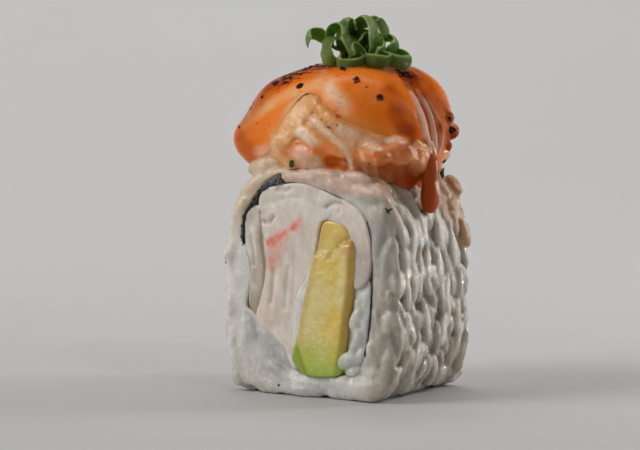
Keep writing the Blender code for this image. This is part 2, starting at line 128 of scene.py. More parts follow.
def cell_corners(part):
    """The eight corners of a cell, each with its weight for places this part of the way across."""
    for corner in range(8):
        step = np.array([(corner >> k) & 1 for k in range(3)])
        yield step, np.prod(np.where(step, part, 1 - part), axis=1)


def value_noise(points, size, seed):
    """Smooth noise from -1 to 1 at points, which changes over about size millimetres."""
    where = np.asarray(points, float) / size + 1000.0
    base = np.floor(where).astype(np.int64)
    part = where - base
    part = part * part * (3 - 2 * part)
    total = np.zeros(len(where))
    for step, weight in cell_corners(part):
        spot = (base + step).astype(np.uint64)
        mixed = spot[:, 0] * np.uint64(73856093) ^ spot[:, 1] * np.uint64(19349663)
        mixed ^= spot[:, 2] * np.uint64(83492791) ^ np.uint64(seed * 2654435761 % 2**32)
        mixed ^= mixed >> np.uint64(13)
        mixed = (mixed * np.uint64(1274126177)) & np.uint64(0xFFFFFFFF)
        mixed ^= mixed >> np.uint64(16)
        drawn = (mixed & np.uint64(0xFFFF)).astype(float) / 32767.5 - 1
        total += drawn * weight
    return total


def rough_noise(points, size, seed, octaves=3):
    """Value noise with finer and weaker layers added."""
    total, height = np.zeros(len(points)), 1.0
    for octave in range(octaves):
        total += value_noise(points, size / 2**octave, seed + octave) * height
        height *= 0.5
    return total


def near_line(x, z, line):
    """The distance from each (x, z) to a line through points, and how far along it that is."""
    best = np.full(np.shape(x), 1e9)
    along = np.zeros(np.shape(x))
    passed = 0.0
    for (ax, az), (bx, bz) in zip(line, line[1:]):
        dx, dz = bx - ax, bz - az
        length = math.hypot(dx, dz)
        t = np.clip(((x - ax) * dx + (z - az) * dz) / max(length * length, 1e-9), 0, 1)
        d = np.hypot(x - ax - t * dx, z - az - t * dz)
        nearer = d < best
        best = np.where(nearer, d, best)
        along = np.where(nearer, passed + t * length, along)
        passed += length
    return best, along / max(passed, 1e-9)


def stroke(x, z, line, width, soft=0.5):
    """1 on a line, falling to 0 beyond width, for colour and relief."""
    return 1 - ramp(near_line(x, z, line)[0], width * (1 - soft), width)


def line_bell(x, z, line, width):
    """1 on a line, falling off softly over about the width."""
    return bell(near_line(x, z, line)[0], width)


def outline_distance(x, z, outline):
    """Signed distance to a closed outline, negative inside."""
    closed = list(outline) + [outline[0]]
    distance, _ = near_line(x, z, closed)
    inside = np.zeros(np.shape(x), bool)
    for (ax, az), (bx, bz) in zip(closed, closed[1:]):
        if az == bz:
            continue
        crosses = (az > z) != (bz > z)
        inside ^= crosses & (x < (bx - ax) * (z - az) / (bz - az) + ax)
    return np.where(inside, -distance, distance)


def curve_part(a, b, c, d, steps):
    """Points of a Catmull-Rom curve from b up to c, which isn't among them."""
    return [0.5 * (2 * b + (c - a) * t + (2 * a - 5 * b + 4 * c - d) * t**2
                   + (3 * b - a - 3 * c + d) * t**3) for t in np.arange(steps) / steps]


def smooth_loop(points, steps):
    """Points of a smooth closed curve through the given ones."""
    knots = np.array(points, float)
    found = []
    for i in range(len(knots)):
        found += curve_part(*(knots[(i + k) % len(knots)] for k in (-1, 0, 1, 2)), steps)
    return [tuple(p) for p in found]


def smooth_path(points, steps):
    """Points of a smooth open curve through the given ones, in two or three dimensions."""
    knots = np.array(points, float)
    knots = np.vstack([2 * knots[0] - knots[1], knots, 2 * knots[-1] - knots[-2]])
    found = []
    for i in range(1, len(knots) - 2):
        found += curve_part(*knots[i - 1:i + 3], steps)
    return np.array(found + [knots[-2]])


def even_loop(points, count):
    """A closed outline with count points spaced evenly along it."""
    ring = np.array(list(points) + [points[0]])
    lengths = np.hypot(*np.diff(ring, axis=0).T)
    passed = np.concatenate([[0], np.cumsum(lengths)])
    wanted = np.linspace(0, passed[-1], count, endpoint=False)
    return [(float(np.interp(s, passed, ring[:, 0])), float(np.interp(s, passed, ring[:, 1])))
            for s in wanted]


def moved_out(points, distance):
    """An anticlockwise closed outline with each point moved out along its normal."""
    ring = np.array(points)
    along = np.roll(ring, -1, axis=0) - np.roll(ring, 1, axis=0)
    along /= np.hypot(along[:, 0], along[:, 1])[:, None]
    return [tuple(p) for p in ring + np.column_stack([along[:, 1], -along[:, 0]]) * distance]


def roll_outline(steps, grow=0.0):
    """The rice's outline: a squarish oval. It runs anticlockwise."""
    points = []
    for i in range(steps):
        c, s = math.cos(2 * math.pi * i / steps), math.sin(2 * math.pi * i / steps)
        shoulder = SHOULDER_SQUARENESS if c > 0 else LEFT_SHOULDER_SQUARENESS
        power = 2 / (shoulder if s > 0 else FOOT_SQUARENESS)
        x = math.copysign(abs(c) ** power, c) * (HALF_WIDTH + grow)
        z = math.copysign(abs(s) ** power, s) * (HEIGHT / 2 + grow) + HEIGHT / 2 - FOOT_SINK
        points.append((x, z))
    return even_loop(points, steps)


# Signed distance fields

class Field:
    """A box of signed distances in which rounded forms melt together, each with its own tone."""

    def __init__(self, low, high, step, tone=(0.0,)):
        self.low = np.array(low, float)
        self.step = step
        self.shape = tuple(int(math.ceil((b - a) / step)) + 1 for a, b in zip(low, high))
        self.values = np.full(self.shape, 9.0, np.float32)
        self.tones = np.zeros((*self.shape, len(tone)), np.float32) + np.array(tone, np.float32)

    def window(self, low, high):
        """The part of the grid in a box, as slices, and its points' X, Y and Z."""
        start = [max(0, int((a - o) / self.step)) for a, o in zip(low, self.low)]
        stop = [min(n, int((b - o) / self.step) + 2) for b, o, n in zip(high, self.low, self.shape)]
        if any(b <= a for a, b in zip(start, stop)):
            return None, None
        axes = [self.low[i] + self.step * np.arange(start[i], stop[i]) for i in range(3)]
        grid = np.meshgrid(*axes, indexing="ij")
        return tuple(slice(a, b) for a, b in zip(start, stop)), grid

    def everywhere(self):
        """X, Y and Z of all the grid's points."""
        return self.window(self.low, self.low + np.array(self.shape) * self.step)[1]

    def near_surface(self, reach):
        """A mask of the grid's points within reach of the surface, and their places."""
        near = np.abs(self.values) < reach
        return near, self.low + np.argwhere(near) * self.step

    def sample(self, places):
        """The distances at places, blended from the grid's nearest points."""
        where = (np.asarray(places) - self.low) / self.step
        base = np.clip(np.floor(where).astype(int), 0, np.array(self.shape) - 2)
        part = np.clip(where - base, 0, 1)
        total = np.zeros(len(where))
        for step, weight in cell_corners(part):
            total += self.values[tuple((base + step).T)] * weight
        return total

    def add(self, part, distance, melt, tone=0.0):
        """Joins a form to the field; the two melt together over about melt millimetres."""
        old = self.values[part]
        share = np.clip(0.5 + 0.5 * (old - distance) / melt, 0, 1)
        self.tones[part] += (np.array(tone, np.float32) - self.tones[part]) * share[..., None]
        self.values[part] = old + (distance - old) * share - melt * share * (1 - share)

    def take(self, part, distance, melt):
        """Cuts a form out of the field, with edges rounded over about melt millimetres."""
        old = self.values[part]
        share = np.clip(0.5 - 0.5 * (old + distance) / melt, 0, 1)
        self.values[part] = old + (-distance - old) * share + melt * share * (1 - share)

    def take_everywhere(self, distance, melt):
        """Cuts out a form whose distance is given over the whole grid."""
        distance = np.broadcast_to(distance, self.shape).astype(np.float32)
        self.take((slice(None),) * 3, distance, melt)

    def blob(self, centre, half, turn=(0, 0, 0), melt=0.4, tone=0.0, cut=False):
        """An ellipsoid, turned by degrees about X, Y and Z."""
        matrix = np.array(Euler([math.radians(a) for a in turn]).to_matrix())
        self.blob_by_axes(centre, half, matrix, melt, tone, cut)

    def blob_by_axes(self, centre, half, matrix, melt=0.4, tone=0.0, cut=False):
        """An ellipsoid whose own axes are the matrix's columns."""
        reach = np.sqrt(((matrix * np.array(half)) ** 2).sum(axis=1)) + melt * 2 + self.step * 2
        part, grid = self.window(np.array(centre) - reach, np.array(centre) + reach)
        if part is None:
            return
        offset = [g - c for g, c in zip(grid, centre)]
        local = [sum(matrix[j, i] * offset[j] for j in range(3)) for i in range(3)]
        k0 = np.sqrt(sum((v / h) ** 2 for v, h in zip(local, half)))
        k1 = np.sqrt(sum((v / h**2) ** 2 for v, h in zip(local, half)))
        distance = k0 * (k0 - 1) / np.maximum(k1, 1e-6)
        if cut:
            self.take(part, distance, melt)
        else:
            self.add(part, distance, melt, tone)

    def tube(self, path, radii, melt=0.4, tone=0.0, cut=False):
        """A rope along a path, with a radius at each point."""
        path = np.array(path, float)
        for a, b, ra, rb in zip(path, path[1:], radii, radii[1:]):
            reach = max(ra, rb) + melt * 2 + self.step * 2
            part, grid = self.window(np.minimum(a, b) - reach, np.maximum(a, b) + reach)
            if part is None:
                continue
            d = b - a
            offset = [g - c for g, c in zip(grid, a)]
            t = np.clip(sum(o * v for o, v in zip(offset, d)) / max(d @ d, 1e-9), 0, 1)
            gap = [o - t * v for o, v in zip(offset, d)]
            distance = np.sqrt(sum(g * g for g in gap)) - (ra + (rb - ra) * t)
            if cut:
                self.take(part, distance, melt)
            else:
                self.add(part, distance, melt, tone)

    def ruffle(self, size, height, seed, octaves=2):
        """Pushes the surface in and out by noise."""
        near, places = self.near_surface(height * 3 + self.step * 2)
        self.values[near] += (rough_noise(places, size, seed, octaves) * height).astype(np.float32)

    def surface(self):
        """The zero surface's places, faces and tones, one vertex in each cell that it crosses."""
        v = self.values
        inside = v < 0
        nx, ny, nz = (n - 1 for n in self.shape)
        corners = [(i, j, k) for i in (0, 1) for j in (0, 1) for k in (0, 1)]
        counts = sum(inside[i:i + nx, j:j + ny, k:k + nz].astype(np.int8) for i, j, k in corners)
        cells = np.argwhere((counts > 0) & (counts < 8))
        number = np.full((nx, ny, nz), -1, np.int64)
        number[tuple(cells.T)] = np.arange(len(cells))
        place = np.zeros((len(cells), 3))
        hits = np.zeros(len(cells))
        pairs = [(a, b) for a in corners for b in corners
                 if a < b and sum(abs(p - q) for p, q in zip(a, b)) == 1]
        for a, b in pairs:
            va = v[tuple((cells + a).T)]
            vb = v[tuple((cells + b).T)]
            crossed = (va < 0) != (vb < 0)
            t = np.where(crossed, va / np.where(crossed, va - vb, 1), 0)[:, None]
            place += np.where(crossed[:, None], np.array(a) + t * (np.array(b) - a), 0)
            hits += crossed
        place = self.low + (cells + place / hits[:, None]) * self.step
        quads = []
        unit = np.eye(3, dtype=int)
        here = inside[tuple(slice(1, n - 1) for n in self.shape)]
        for axis in range(3):
            one, two = [(1, 2), (2, 0), (0, 1)][axis]
            ahead = inside[tuple(
                slice(1 + (i == axis), n - 1 + (i == axis)) for i, n in enumerate(self.shape))]
            for out in (False, True):
                at = np.argwhere((~here & ahead) if out else (here & ~ahead)) + 1
                ring = [at - unit[one] - unit[two], at - unit[two], at, at - unit[one]]
                if out:
                    ring.reverse()
                quads.append(np.column_stack([number[tuple(r.T)] for r in ring]))
        tone = sum(self.tones[tuple((cells + c).T)] for c in corners) / 8
        return place, np.vstack(quads), tone

    def mesh(self, name):
        """The surface as an object, with its places and tones."""
        place, quads, tone = self.surface()
        return mesh_object(name, place, quads), place, tone


def linked(name, data):
    """An object in the scene with a mesh, a light or a camera as its data."""
    obj = bpy.data.objects.new(name, data)
    bpy.context.scene.collection.objects.link(obj)
    return obj


def mesh_object(name, places, faces):
    """A mesh object from places in millimetres."""
    mesh = bpy.data.meshes.new(name)
    faces = faces.tolist() if isinstance(faces, np.ndarray) else faces
    mesh.from_pydata((np.asarray(places) * MM).tolist(), [], faces)
    mesh.update()
    mesh.shade_smooth()
    return linked(name, mesh)


def paint(obj, name, values):
    """Stores a colour, or a single number, at each vertex."""
    values = np.asarray(values, float)
    if values.ndim == 1:
        layer = obj.data.attributes.new(name, "FLOAT", "POINT")
        layer.data.foreach_set("value", values)
    else:
        layer = obj.data.color_attributes.new(name, "FLOAT_COLOR", "POINT")
        layer.data.foreach_set("color", np.column_stack([values, np.ones(len(values))]).ravel())


# Materials

def new_material(name, roughness, specular=0.5, subsurface=0.0, radius=(1, 1, 1), scale=0.001,
                 coat=None):
    """A material, its node tree and its shader; coat is a wet film's weight and roughness."""
    made = bpy.data.materials.new(name)
    made.use_nodes = True
    shader = made.node_tree.nodes["Principled BSDF"]
    values = {"Roughness": roughness, "Specular IOR Level": specular, "Subsurface Scale": scale,
              "Subsurface Weight": subsurface, "Subsurface Radius": radius}
    if coat:
        values["Coat Weight"], values["Coat Roughness"] = coat
    for key, value in values.items():
        shader.inputs[key].default_value = value
    return made, made.node_tree, shader


def node(tree, kind, **settings):
    """A new node, with its inputs and options set by name."""
    made = tree.nodes.new(kind)
    for key, value in settings.items():
        if key in made.inputs:
            made.inputs[key].default_value = value
        else:
            setattr(made, key, value)
    return made


def place_input(tree, stretch=(1, 1, 1)):
    """Object coordinates in millimetres, stretched along X, Y and Z."""
    coords = node(tree, "ShaderNodeTexCoord")
    scaled = node(tree, "ShaderNodeMapping")
    scaled.inputs["Scale"].default_value = [s / MM for s in stretch]
    tree.links.new(coords.outputs["Object"], scaled.inputs["Vector"])
    return scaled.outputs["Vector"]


def noise(tree, vector, scale, detail=3.0, rough=0.55):
    made = node(tree, "ShaderNodeTexNoise", Scale=scale, Detail=detail, Roughness=rough)
    tree.links.new(vector, made.inputs["Vector"])
    return made.outputs["Fac"]


def map_range(tree, value, low, high, new_low=0.0, new_high=1.0):
    made = node(tree, "ShaderNodeMapRange")
    for key, number in zip(("From Min", "From Max", "To Min", "To Max"),
                           (low, high, new_low, new_high)):
        made.inputs[key].default_value = number
    tree.links.new(value, made.inputs["Value"])
    return made.outputs["Result"]


def combine(tree, operation, one, two):
    """The sum, or another operation, of two numbers' sockets."""
    made = node(tree, "ShaderNodeMath", operation=operation)
    tree.links.new(one, made.inputs[0])
    tree.links.new(two, made.inputs[1])
    return made.outputs[0]


def blend_colour(tree, share, a, b, kind="MIX"):
    """Mixes two colours, each a socket or a tuple, by a socket or a number."""
    made = node(tree, "ShaderNodeMix", data_type="RGBA", blend_type=kind)
    for socket, value in ((made.inputs["Factor"], share), (made.inputs[6], a), (made.inputs[7], b)):
        if isinstance(value, bpy.types.NodeSocket):
            tree.links.new(value, socket)
        else:
            socket.default_value = value if isinstance(value, (int, float)) else (*value, 1)
    return made.outputs[2]


def attribute(tree, name, kind="Color"):
    return node(tree, "ShaderNodeAttribute", attribute_name=name).outputs[kind]


def connect(tree, shader, colour, roughness, bumps):
    """Feeds a shader its colour, its roughness and its bumps.

    An even roughness is given as None, and bumps are pairs of a height and its depth in millimetres.
    """
    tree.links.new(colour, shader.inputs["Base Color"])
    if roughness is not None:
        tree.links.new(roughness, shader.inputs["Roughness"])
    normal = None
    for height, depth in bumps:
        made = node(tree, "ShaderNodeBump", Strength=1.0, Distance=depth * MM)
        tree.links.new(height, made.inputs["Height"])
        if normal is not None:
            tree.links.new(normal, made.inputs["Normal"])
        normal = made.outputs["Normal"]
    tree.links.new(normal, shader.inputs["Normal"])
    if shader.inputs["Coat Weight"].default_value > 0:
        tree.links.new(normal, shader.inputs["Coat Normal"])


def rice_material(name):
    """Cooked rice: milky, translucent and wet, streaked along the grains, with painted glints."""
    made, tree, shader = new_material(name, 0.3, 0.4, 0.8, (1.0, 0.92, 0.8), 0.0012, (1.0, 0.05))
    place = place_input(tree)
    long_way = place_input(tree, (1.0, 1.0, 0.45))
    painted = attribute(tree, "tint")
    milky = noise(tree, long_way, 0.6, 5, 0.62)
    clear = blend_colour(tree, 1.0, painted, (0.89, 0.885, 0.875), "MULTIPLY")
    pale = blend_colour(tree, 0.5, painted, (0.86, 0.86, 0.84))
    colour = blend_colour(tree, map_range(tree, milky, 0.36, 0.56), clear, painted)
    colour = blend_colour(tree, map_range(tree, milky, 0.56, 0.74, 0.0, 0.8), colour, pale)
    # painted glints of the wet rice, with some white starch specks
    glints_and_starch = map_range(tree, noise(tree, place, 2.0, 4, 0.7), 0.6, 0.7, 0.0, 0.4)
    colour = blend_colour(tree, glints_and_starch, colour, (0.95, 0.94, 0.92))
    wet = map_range(tree, noise(tree, place, 1.3, 4, 0.6), 0.35, 0.68, 0.1, 0.34)
    streaks = noise(tree, long_way, 1.2, 4, 0.6)
    fine = noise(tree, place, 1.7, 4, 0.65)
    connect(tree, shader, colour, wet, [(streaks, 0.1), (fine, 0.16)])
    return made


def flesh_material(name, roughness, low_rough, high_rough, grain, depth, radius, weight=0.5,
                   scale=0.0016, stretch=(1, 1, 1)):
    """A moist soft filling: painted colour, fine mottling and fine relief."""
    made, tree, shader = new_material(name, roughness, 0.5, weight, radius, scale, (0.3, 0.07))
    place = place_input(tree, stretch)
    painted = attribute(tree, "tint")
    mottle = map_range(tree, noise(tree, place, grain * 0.5, 4), 0.35, 0.7)
    darker = blend_colour(tree, 1.0, painted, (0.9, 0.88, 0.85), "MULTIPLY")
    wet = map_range(tree, noise(tree, place, grain * 0.35, 2), 0.35, 0.7, low_rough, high_rough)
    connect(tree, shader, blend_colour(tree, mottle, painted, darker), wet,
            [(noise(tree, place, grain, 4), depth), (noise(tree, place, grain * 3, 2), depth * 0.3)])
    return made


def torched(tree, flecks, low, high):
    """The painted char, broken up by flecks that add from low to high."""
    return combine(tree, "ADD", attribute(tree, "char", "Fac"),
                   map_range(tree, flecks, 0.3, 0.7, low, high))


def sauce_material():
    """Thick orange sauce: blisters and char where the painted char says, and a wet gloss."""
    made, tree, shader = new_material("sauce_look", 0.3, 0.07, 0.25, (1.0, 0.35, 0.05), 0.001,
                                      (0.1, 0.06))
    place = place_input(tree)
    share = torched(tree, noise(tree, place_input(tree, (0.55, 1.0, 1.3)), 1.1, 5, 0.65), -0.6, 0.42)
    toasted = map_range(tree, share, 0.1, 0.62)
    burnt = map_range(tree, share, 0.54, 0.72)
    warm = blend_colour(tree, toasted, attribute(tree, "tint"), (0.60, 0.075, 0.002))
    colour = blend_colour(tree, burnt, warm, (0.028, 0.010, 0.007))
    gloss = map_range(tree, noise(tree, place, 0.8, 2), 0.3, 0.7, 0.24, 0.38)
    matte = combine(tree, "MAXIMUM", gloss, map_range(tree, burnt, 0.0, 1.0, 0.0, 0.9))
    connect(tree, shader, colour, matte,
            [(noise(tree, place, 0.45, 3), 0.1), (noise(tree, place, 2.2, 3), 0.03), (burnt, 0.12)])
    return made


def seafood_material():
    """Chopped seafood under a thin glaze: wet, mottled, with torched flecks."""
    made, tree, shader = new_material("seafood_look", 0.25, 0.5, 0.45, (1.0, 0.5, 0.22), 0.0012,
                                      (0.55, 0.06))
    place = place_input(tree)
    painted = attribute(tree, "tint")
    share = torched(tree, noise(tree, place, 1.9, 5, 0.65), -0.5, 0.5)
    toasted = map_range(tree, share, 0.25, 0.6)
    burnt = map_range(tree, share, 0.6, 0.8)
    strands = noise(tree, place, 0.9, 4, 0.6)
    glazed = blend_colour(tree, 0.22, painted, (0.80, 0.26, 0.03))
    creamy = blend_colour(tree, 0.4, painted, (0.86, 0.66, 0.50))
    mottled = blend_colour(tree, map_range(tree, strands, 0.42, 0.62), glazed, painted)
    mottled = blend_colour(tree, map_range(tree, strands, 0.6, 0.74), mottled, creamy)
    warm = blend_colour(tree, toasted, mottled, (0.40, 0.12, 0.02))
    colour = blend_colour(tree, burnt, warm, (0.05, 0.02, 0.012))
    gloss = map_range(tree, noise(tree, place, 1.4, 3), 0.3, 0.7, 0.1, 0.34)
    connect(tree, shader, colour, gloss,
            [(noise(tree, place, 1.1, 4), 0.2), (noise(tree, place, 3.6, 3), 0.05)])
    return made


def nori_material(name, pale):
    """Moist seaweed: near black, speckled with a paler colour, which may be a painted one."""
    made, tree, shader = new_material(name, 0.5, 0.4)
    grain = noise(tree, place_input(tree), 2.4, 5, 0.7)
    pale = attribute(tree, pale) if isinstance(pale, str) else pale
    colour = blend_colour(tree, map_range(tree, grain, 0.38, 0.68), (0.008, 0.010, 0.009), pale)
    connect(tree, shader, colour, map_range(tree, grain, 0.3, 0.7, 0.6, 0.32), [(grain, 0.2)])
    return made


def onion_material():
    """Spring onion: green outside, paler inside and at the cut edges, ribbed along the strip."""
    made, tree, shader = new_material("spring_onion_look", 0.26, 0.4, 0.4, (0.5, 1.0, 0.2), 0.0012,
                                      (0.35, 0.06))
    place = place_input(tree)
    painted = attribute(tree, "tint")
    mottle = map_range(tree, noise(tree, place, 1.2, 3), 0.3, 0.72)
    darker = blend_colour(tree, 1.0, painted, (0.62, 0.74, 0.55), "MULTIPLY")
    ribs = node(tree, "ShaderNodeTexWave", wave_type="BANDS", bands_direction="X", Scale=1.0)
    tree.links.new(attribute(tree, "across", "Vector"), ribs.inputs["Vector"])
    connect(tree, shader, blend_colour(tree, mottle, painted, darker), None,
            [(ribs.outputs["Fac"], 0.07), (noise(tree, place, 2.4, 3), 0.08)])
    return made


def plain_food_material(name, colour, roughness, grain, depth):
    """A small loose bit: its colour mottled, with fine relief."""
    made, tree, shader = new_material(name, roughness, 0.5, 0.2, (1, 0.6, 0.4), 0.0006)
    place = place_input(tree)
    mottle = map_range(tree, noise(tree, place, grain, 3), 0.3, 0.7)
    darker = tuple(c * 0.55 for c in colour)
    connect(tree, shader, blend_colour(tree, mottle, colour, darker), None,
            [(noise(tree, place, grain * 2, 3), depth)])
    return made


def dress(obj, made, slot, *nodes):
    """Gives a piece its material and body, and hides the solids that it stands for."""
    obj.data.materials.clear()
    obj.data.materials.append(made)
    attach(obj, "root")
    if nodes:
        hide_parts(*nodes)


# The nori's course on the cut face, and the fillings' outlines, as (x, z)

NORI_PATH = [
    (11.6, 8.0), (12.8, 16.0), (12.9, 24.5), (11.3, 31.8), (5.8, 35.2), (-1.0, 37.0), (-7.6, 36.4),
    (-11.9, 32.2), (-13.4, 25.5), (-13.2, 17.5), (-9.0, 10.8), (-3.4, 5.0), (1.2, 3.7), (6.6, 3.8),
]
NORI_LOOP_CLOSE = (10.2, 5.0)
NORI_STEPS = 8
NORI_SEEN_UNTIL = 7.95  # in knots from the sheet's first edge: past this the rice covers its edge
RICE_CLOSES_OVER = [  # the rice's inner edge on the cut face, where it hides the nori
    (-13.5, 26.6), (-12.4, 25.2), (-11.7, 20.5), (-12.4, 17.2), (-12.9, 15.2), (-11.2, 14.1),
    (-8.8, 11.9), (-5.6, 9.6), (-3.9, 7.6), (-2.7, 4.8), (1.0, 3.8), (6.8, 4.1),
]
NORI_FLAP = [  # the torn double part of the sheet at its upper left, on the cut face
    (-13.55, 26.6), (-13.5, 28.4), (-13.25, 30.4), (-12.6, 32.0), (-11.6, 33.4), (-10.7, 34.6),
    (-9.7, 35.9), (-8.7, 37.0), (-7.5, 37.7), (-6.3, 38.3), (-5.1, 38.7), (-5.4, 37.9), (-4.5, 37.2),
    (-5.3, 36.8), (-6.6, 36.8), (-7.7, 36.3), (-8.7, 35.5), (-9.4, 34.6), (-10.0, 33.6), (-10.9, 32.9),
    (-11.9, 32.1), (-12.6, 30.9), (-12.9, 29.4), (-13.0, 27.6), (-13.15, 26.5),
]
AVOCADO_OUTLINE = [
    (3.3, 30.4), (5.4, 31.0), (7.7, 30.3), (9.0, 28.9), (9.9, 25.6), (10.0, 22.1), (9.4, 19.0),
    (8.7, 15.0), (8.1, 10.6), (7.6, 6.8), (7.1, 4.7), (5.4, 4.0), (0.6, 3.9), (-1.3, 4.9),
    (-2.5, 6.6), (-2.2, 8.4), (-1.4, 11.2), (-0.6, 15.4), (0.5, 19.6), (1.4, 23.4), (2.3, 26.6),
]
CREAM_CHEESE_OUTLINE = [
    (1.2, 22.4), (0.1, 20.6), (-1.3, 18.4), (-2.1, 16.0), (-2.3, 12.8), (-3.0, 9.6), (-3.9, 8.4),
    (-3.1, 6.0), (-1.9, 4.9), (-1.4, 7.6), (-0.6, 12.0), (0.2, 16.0), (1.2, 20.0),
]
CRAB_STICK_OUTLINE = [
    (-8.8, 31.8), (-6.6, 33.6), (-2.0, 34.4), (2.6, 33.4), (5.0, 31.9), (2.6, 30.6), (1.6, 26.4),
    (0.9, 22.4), (-0.4, 19.8), (-1.7, 16.6), (-2.0, 12.6), (-2.6, 9.2), (-3.5, 7.6), (-4.4, 8.7),
    (-6.8, 10.6), (-10.0, 13.0), (-9.2, 16.6), (-8.4, 19.6), (-8.0, 22.6), (-7.9, 26.4),
    (-8.6, 28.0), (-8.9, 30.2),
]
CRAB_WRAP_OUTLINE = [
    (-9.6, 33.4), (-8.6, 35.6), (-5.2, 36.6), (-1.1, 37.0), (2.3, 36.2), (5.6, 35.0), (8.6, 33.9),
    (10.8, 32.6), (12.2, 29.4), (12.8, 26.0), (12.7, 22.8), (11.6, 20.4), (9.9, 19.6),
    (9.7, 22.0), (9.6, 25.6), (8.8, 28.6), (7.5, 30.0), (5.2, 31.0), (3.0, 31.6), (1.4, 32.8),
    (-2.2, 33.6), (-6.0, 33.0), (-8.6, 31.6),
]
CRAB_STRIP_OUTLINE = [
    (-8.4, 32.6), (-10.8, 33.0), (-12.5, 31.2), (-13.0, 28.4), (-12.7, 25.4), (-11.6, 22.4),
    (-12.2, 18.6), (-12.4, 15.6), (-11.0, 13.8), (-9.4, 13.6), (-8.6, 17.0), (-8.0, 21.6),
    (-7.7, 26.6), (-8.5, 28.6), (-8.8, 31.0),
]
INNER_RICE_OUTLINE = [
    (12.6, 20.4), (10.8, 22.2), (9.7, 20.8), (9.2, 17.4), (8.6, 13.2), (7.9, 8.8), (7.2, 5.4),
    (8.4, 4.6), (10.2, 5.4), (11.3, 8.0), (12.3, 14.0),
]


def nori_loop():
    return smooth_loop(NORI_PATH + [NORI_LOOP_CLOSE], NORI_STEPS)


# Cut fillings: prisms with relief on both cut faces

CAP_SPACING = 0.24


def cut_filling(name, outline, relief, tint, grow, edge):
    """A piece that runs through the slice, its outline grown and its edges rounded.

    relief(x, z, face) gives how far its cut stands out of the slice's face, and tint(x, z, face)
    its colour there; face is -1 at the front and 1 at the back.
    """
    loop = smooth_loop(outline, 6)
    if sum(signed_area(a, b, (0, 0)) for a, b in zip(loop, loop[1:] + loop[:1])) < 0:
        loop.reverse()
    if grow:
        loop = moved_out(loop, grow)
    ring = np.array(loop + [loop[0]])
    perimeter = np.hypot(*np.diff(ring, axis=0).T).sum()
    rim = even_loop(loop, int(perimeter / CAP_SPACING))
    low, high = ring.min(axis=0), ring.max(axis=0)
    inner = []
    for i, z in enumerate(np.arange(low[1], high[1], CAP_SPACING * 0.87)):
        xs = np.arange(low[0] + (i % 2) * CAP_SPACING / 2, high[0], CAP_SPACING)
        inner.append(np.column_stack([xs, np.full(len(xs), z)]))
    inner = np.vstack(inner)
    inner = inner[outline_distance(inner[:, 0], inner[:, 1], rim) < -CAP_SPACING * 0.6]
    points = np.vstack([np.array(rim), inner])
    count = len(rim)
    edges = [(i, (i + 1) % count) for i in range(count)]
    flat, _, faces, _, _, _ = delaunay_2d_cdt(
        [Vector(p) for p in points], edges, [list(range(count))], 1, 1e-6)
    flat = np.array([tuple(p) for p in flat])
    depth = -outline_distance(flat[:, 0], flat[:, 1], rim)
    depth[:count] = 0
    fall = np.clip(1 - depth / edge, 0, 1)
    rounding = edge * (1 - np.sqrt(1 - fall**2))
    places, tints = [], []
    for face in (-1, 1):
        height = HALF_LENGTH + relief(flat[:, 0], flat[:, 1], face) - rounding
        places.append(np.column_stack([flat[:, 0], face * height, flat[:, 1]]))
        tints.append(tint(flat[:, 0], flat[:, 1], face))
    total = len(flat)
    places.append(np.array([(x, 0.0, z) for x, z in rim]))
    tints.append(tint(np.array(rim)[:, 0], np.array(rim)[:, 1], -1))
    front = [list(f) if signed_area(*flat[list(f[:3])]) > 0 else list(f)[::-1] for f in faces]
    made = front + [[i + total for i in f[::-1]] for f in front]
    for i, j in edges:
        made.append([j, i, 2 * total + i, 2 * total + j])
        made.append([2 * total + j, 2 * total + i, total + i, total + j])
    obj = mesh_object(name, np.vstack(places), made)
    paint(obj, "tint", np.vstack(tints))
    return obj


def signed_area(a, b, c):
    """Twice a triangle's area, positive where its corners run anticlockwise."""
    return (b[0] - a[0]) * (c[1] - a[1]) - (c[0] - a[0]) * (b[1] - a[1])


def grain_noise(x, z, face, size, seed, stretch=(1, 1)):
    points = np.column_stack([x * stretch[0], np.full(len(x), face * 50.0), z * stretch[1]])
    return rough_noise(points, size, seed)


CRAB_WHITE = (0.82, 0.715, 0.635)
CRAB_PALE = (0.87, 0.80, 0.725)
CRAB_PINK = (0.78, 0.56, 0.48)
CRAB_PAINTED_SHADE = (0.58, 0.49, 0.455)
CORAL = (0.95, 0.22, 0.13)
CORAL_LINE = [(-8.2, 26.4), (-6.7, 27.0), (-5.0, 28.0), (-3.2, 28.9), (-2.0, 30.0), (-1.3, 30.7)]
CORAL_FADE = [(-5.2, 27.6), (-6.2, 25.6), (-7.1, 23.0)]
PINK_LOW = [(-1.5, 12.0), (-2.3, 9.6), (-3.1, 7.9)]
CRAB_CREASES = [  # line, width and depth of each fold
    ([(-8.9, 30.3), (-7.6, 30.1), (-6.7, 31.2)], 0.35, 0.7),
    ([(-3.6, 22.4), (-3.9, 19.6), (-4.4, 15.4)], 0.5, 0.32),
    ([(-6.6, 21.8), (-6.9, 18.6), (-7.3, 16.2)], 0.45, 0.4),
    ([(-1.9, 26.0), (-2.5, 20.0), (-3.2, 14.0)], 0.9, 0.14),
    ([(-8.2, 24.0), (-8.3, 20.0)], 0.5, 0.2),
    ([(-5.6, 36.0), (-4.3, 35.7), (-3.2, 36.2)], 0.4, 0.45),
    ([(4.1, 33.4), (5.2, 34.0), (6.8, 34.0)], 0.34, 0.8),
    ([(-8.4, 33.4), (-5.0, 34.6), (-1.0, 34.9)], 0.6, 0.16),
    ([(7.5, 33.0), (10.4, 29.5), (11.4, 24.5)], 0.9, 0.14),
]
STRIP_FOLD = [(-9.4, 32.0), (-9.4, 27.0), (-8.6, 22.0), (-8.8, 17.0)]
STRIP_CREASES = [(STRIP_FOLD, 0.35, 0.5), ([(-11.6, 27.4), (-10.9, 24.4), (-11.0, 22.6)], 0.4, 0.45)]
STRIP_TAN = (0.62, 0.56, 0.47)
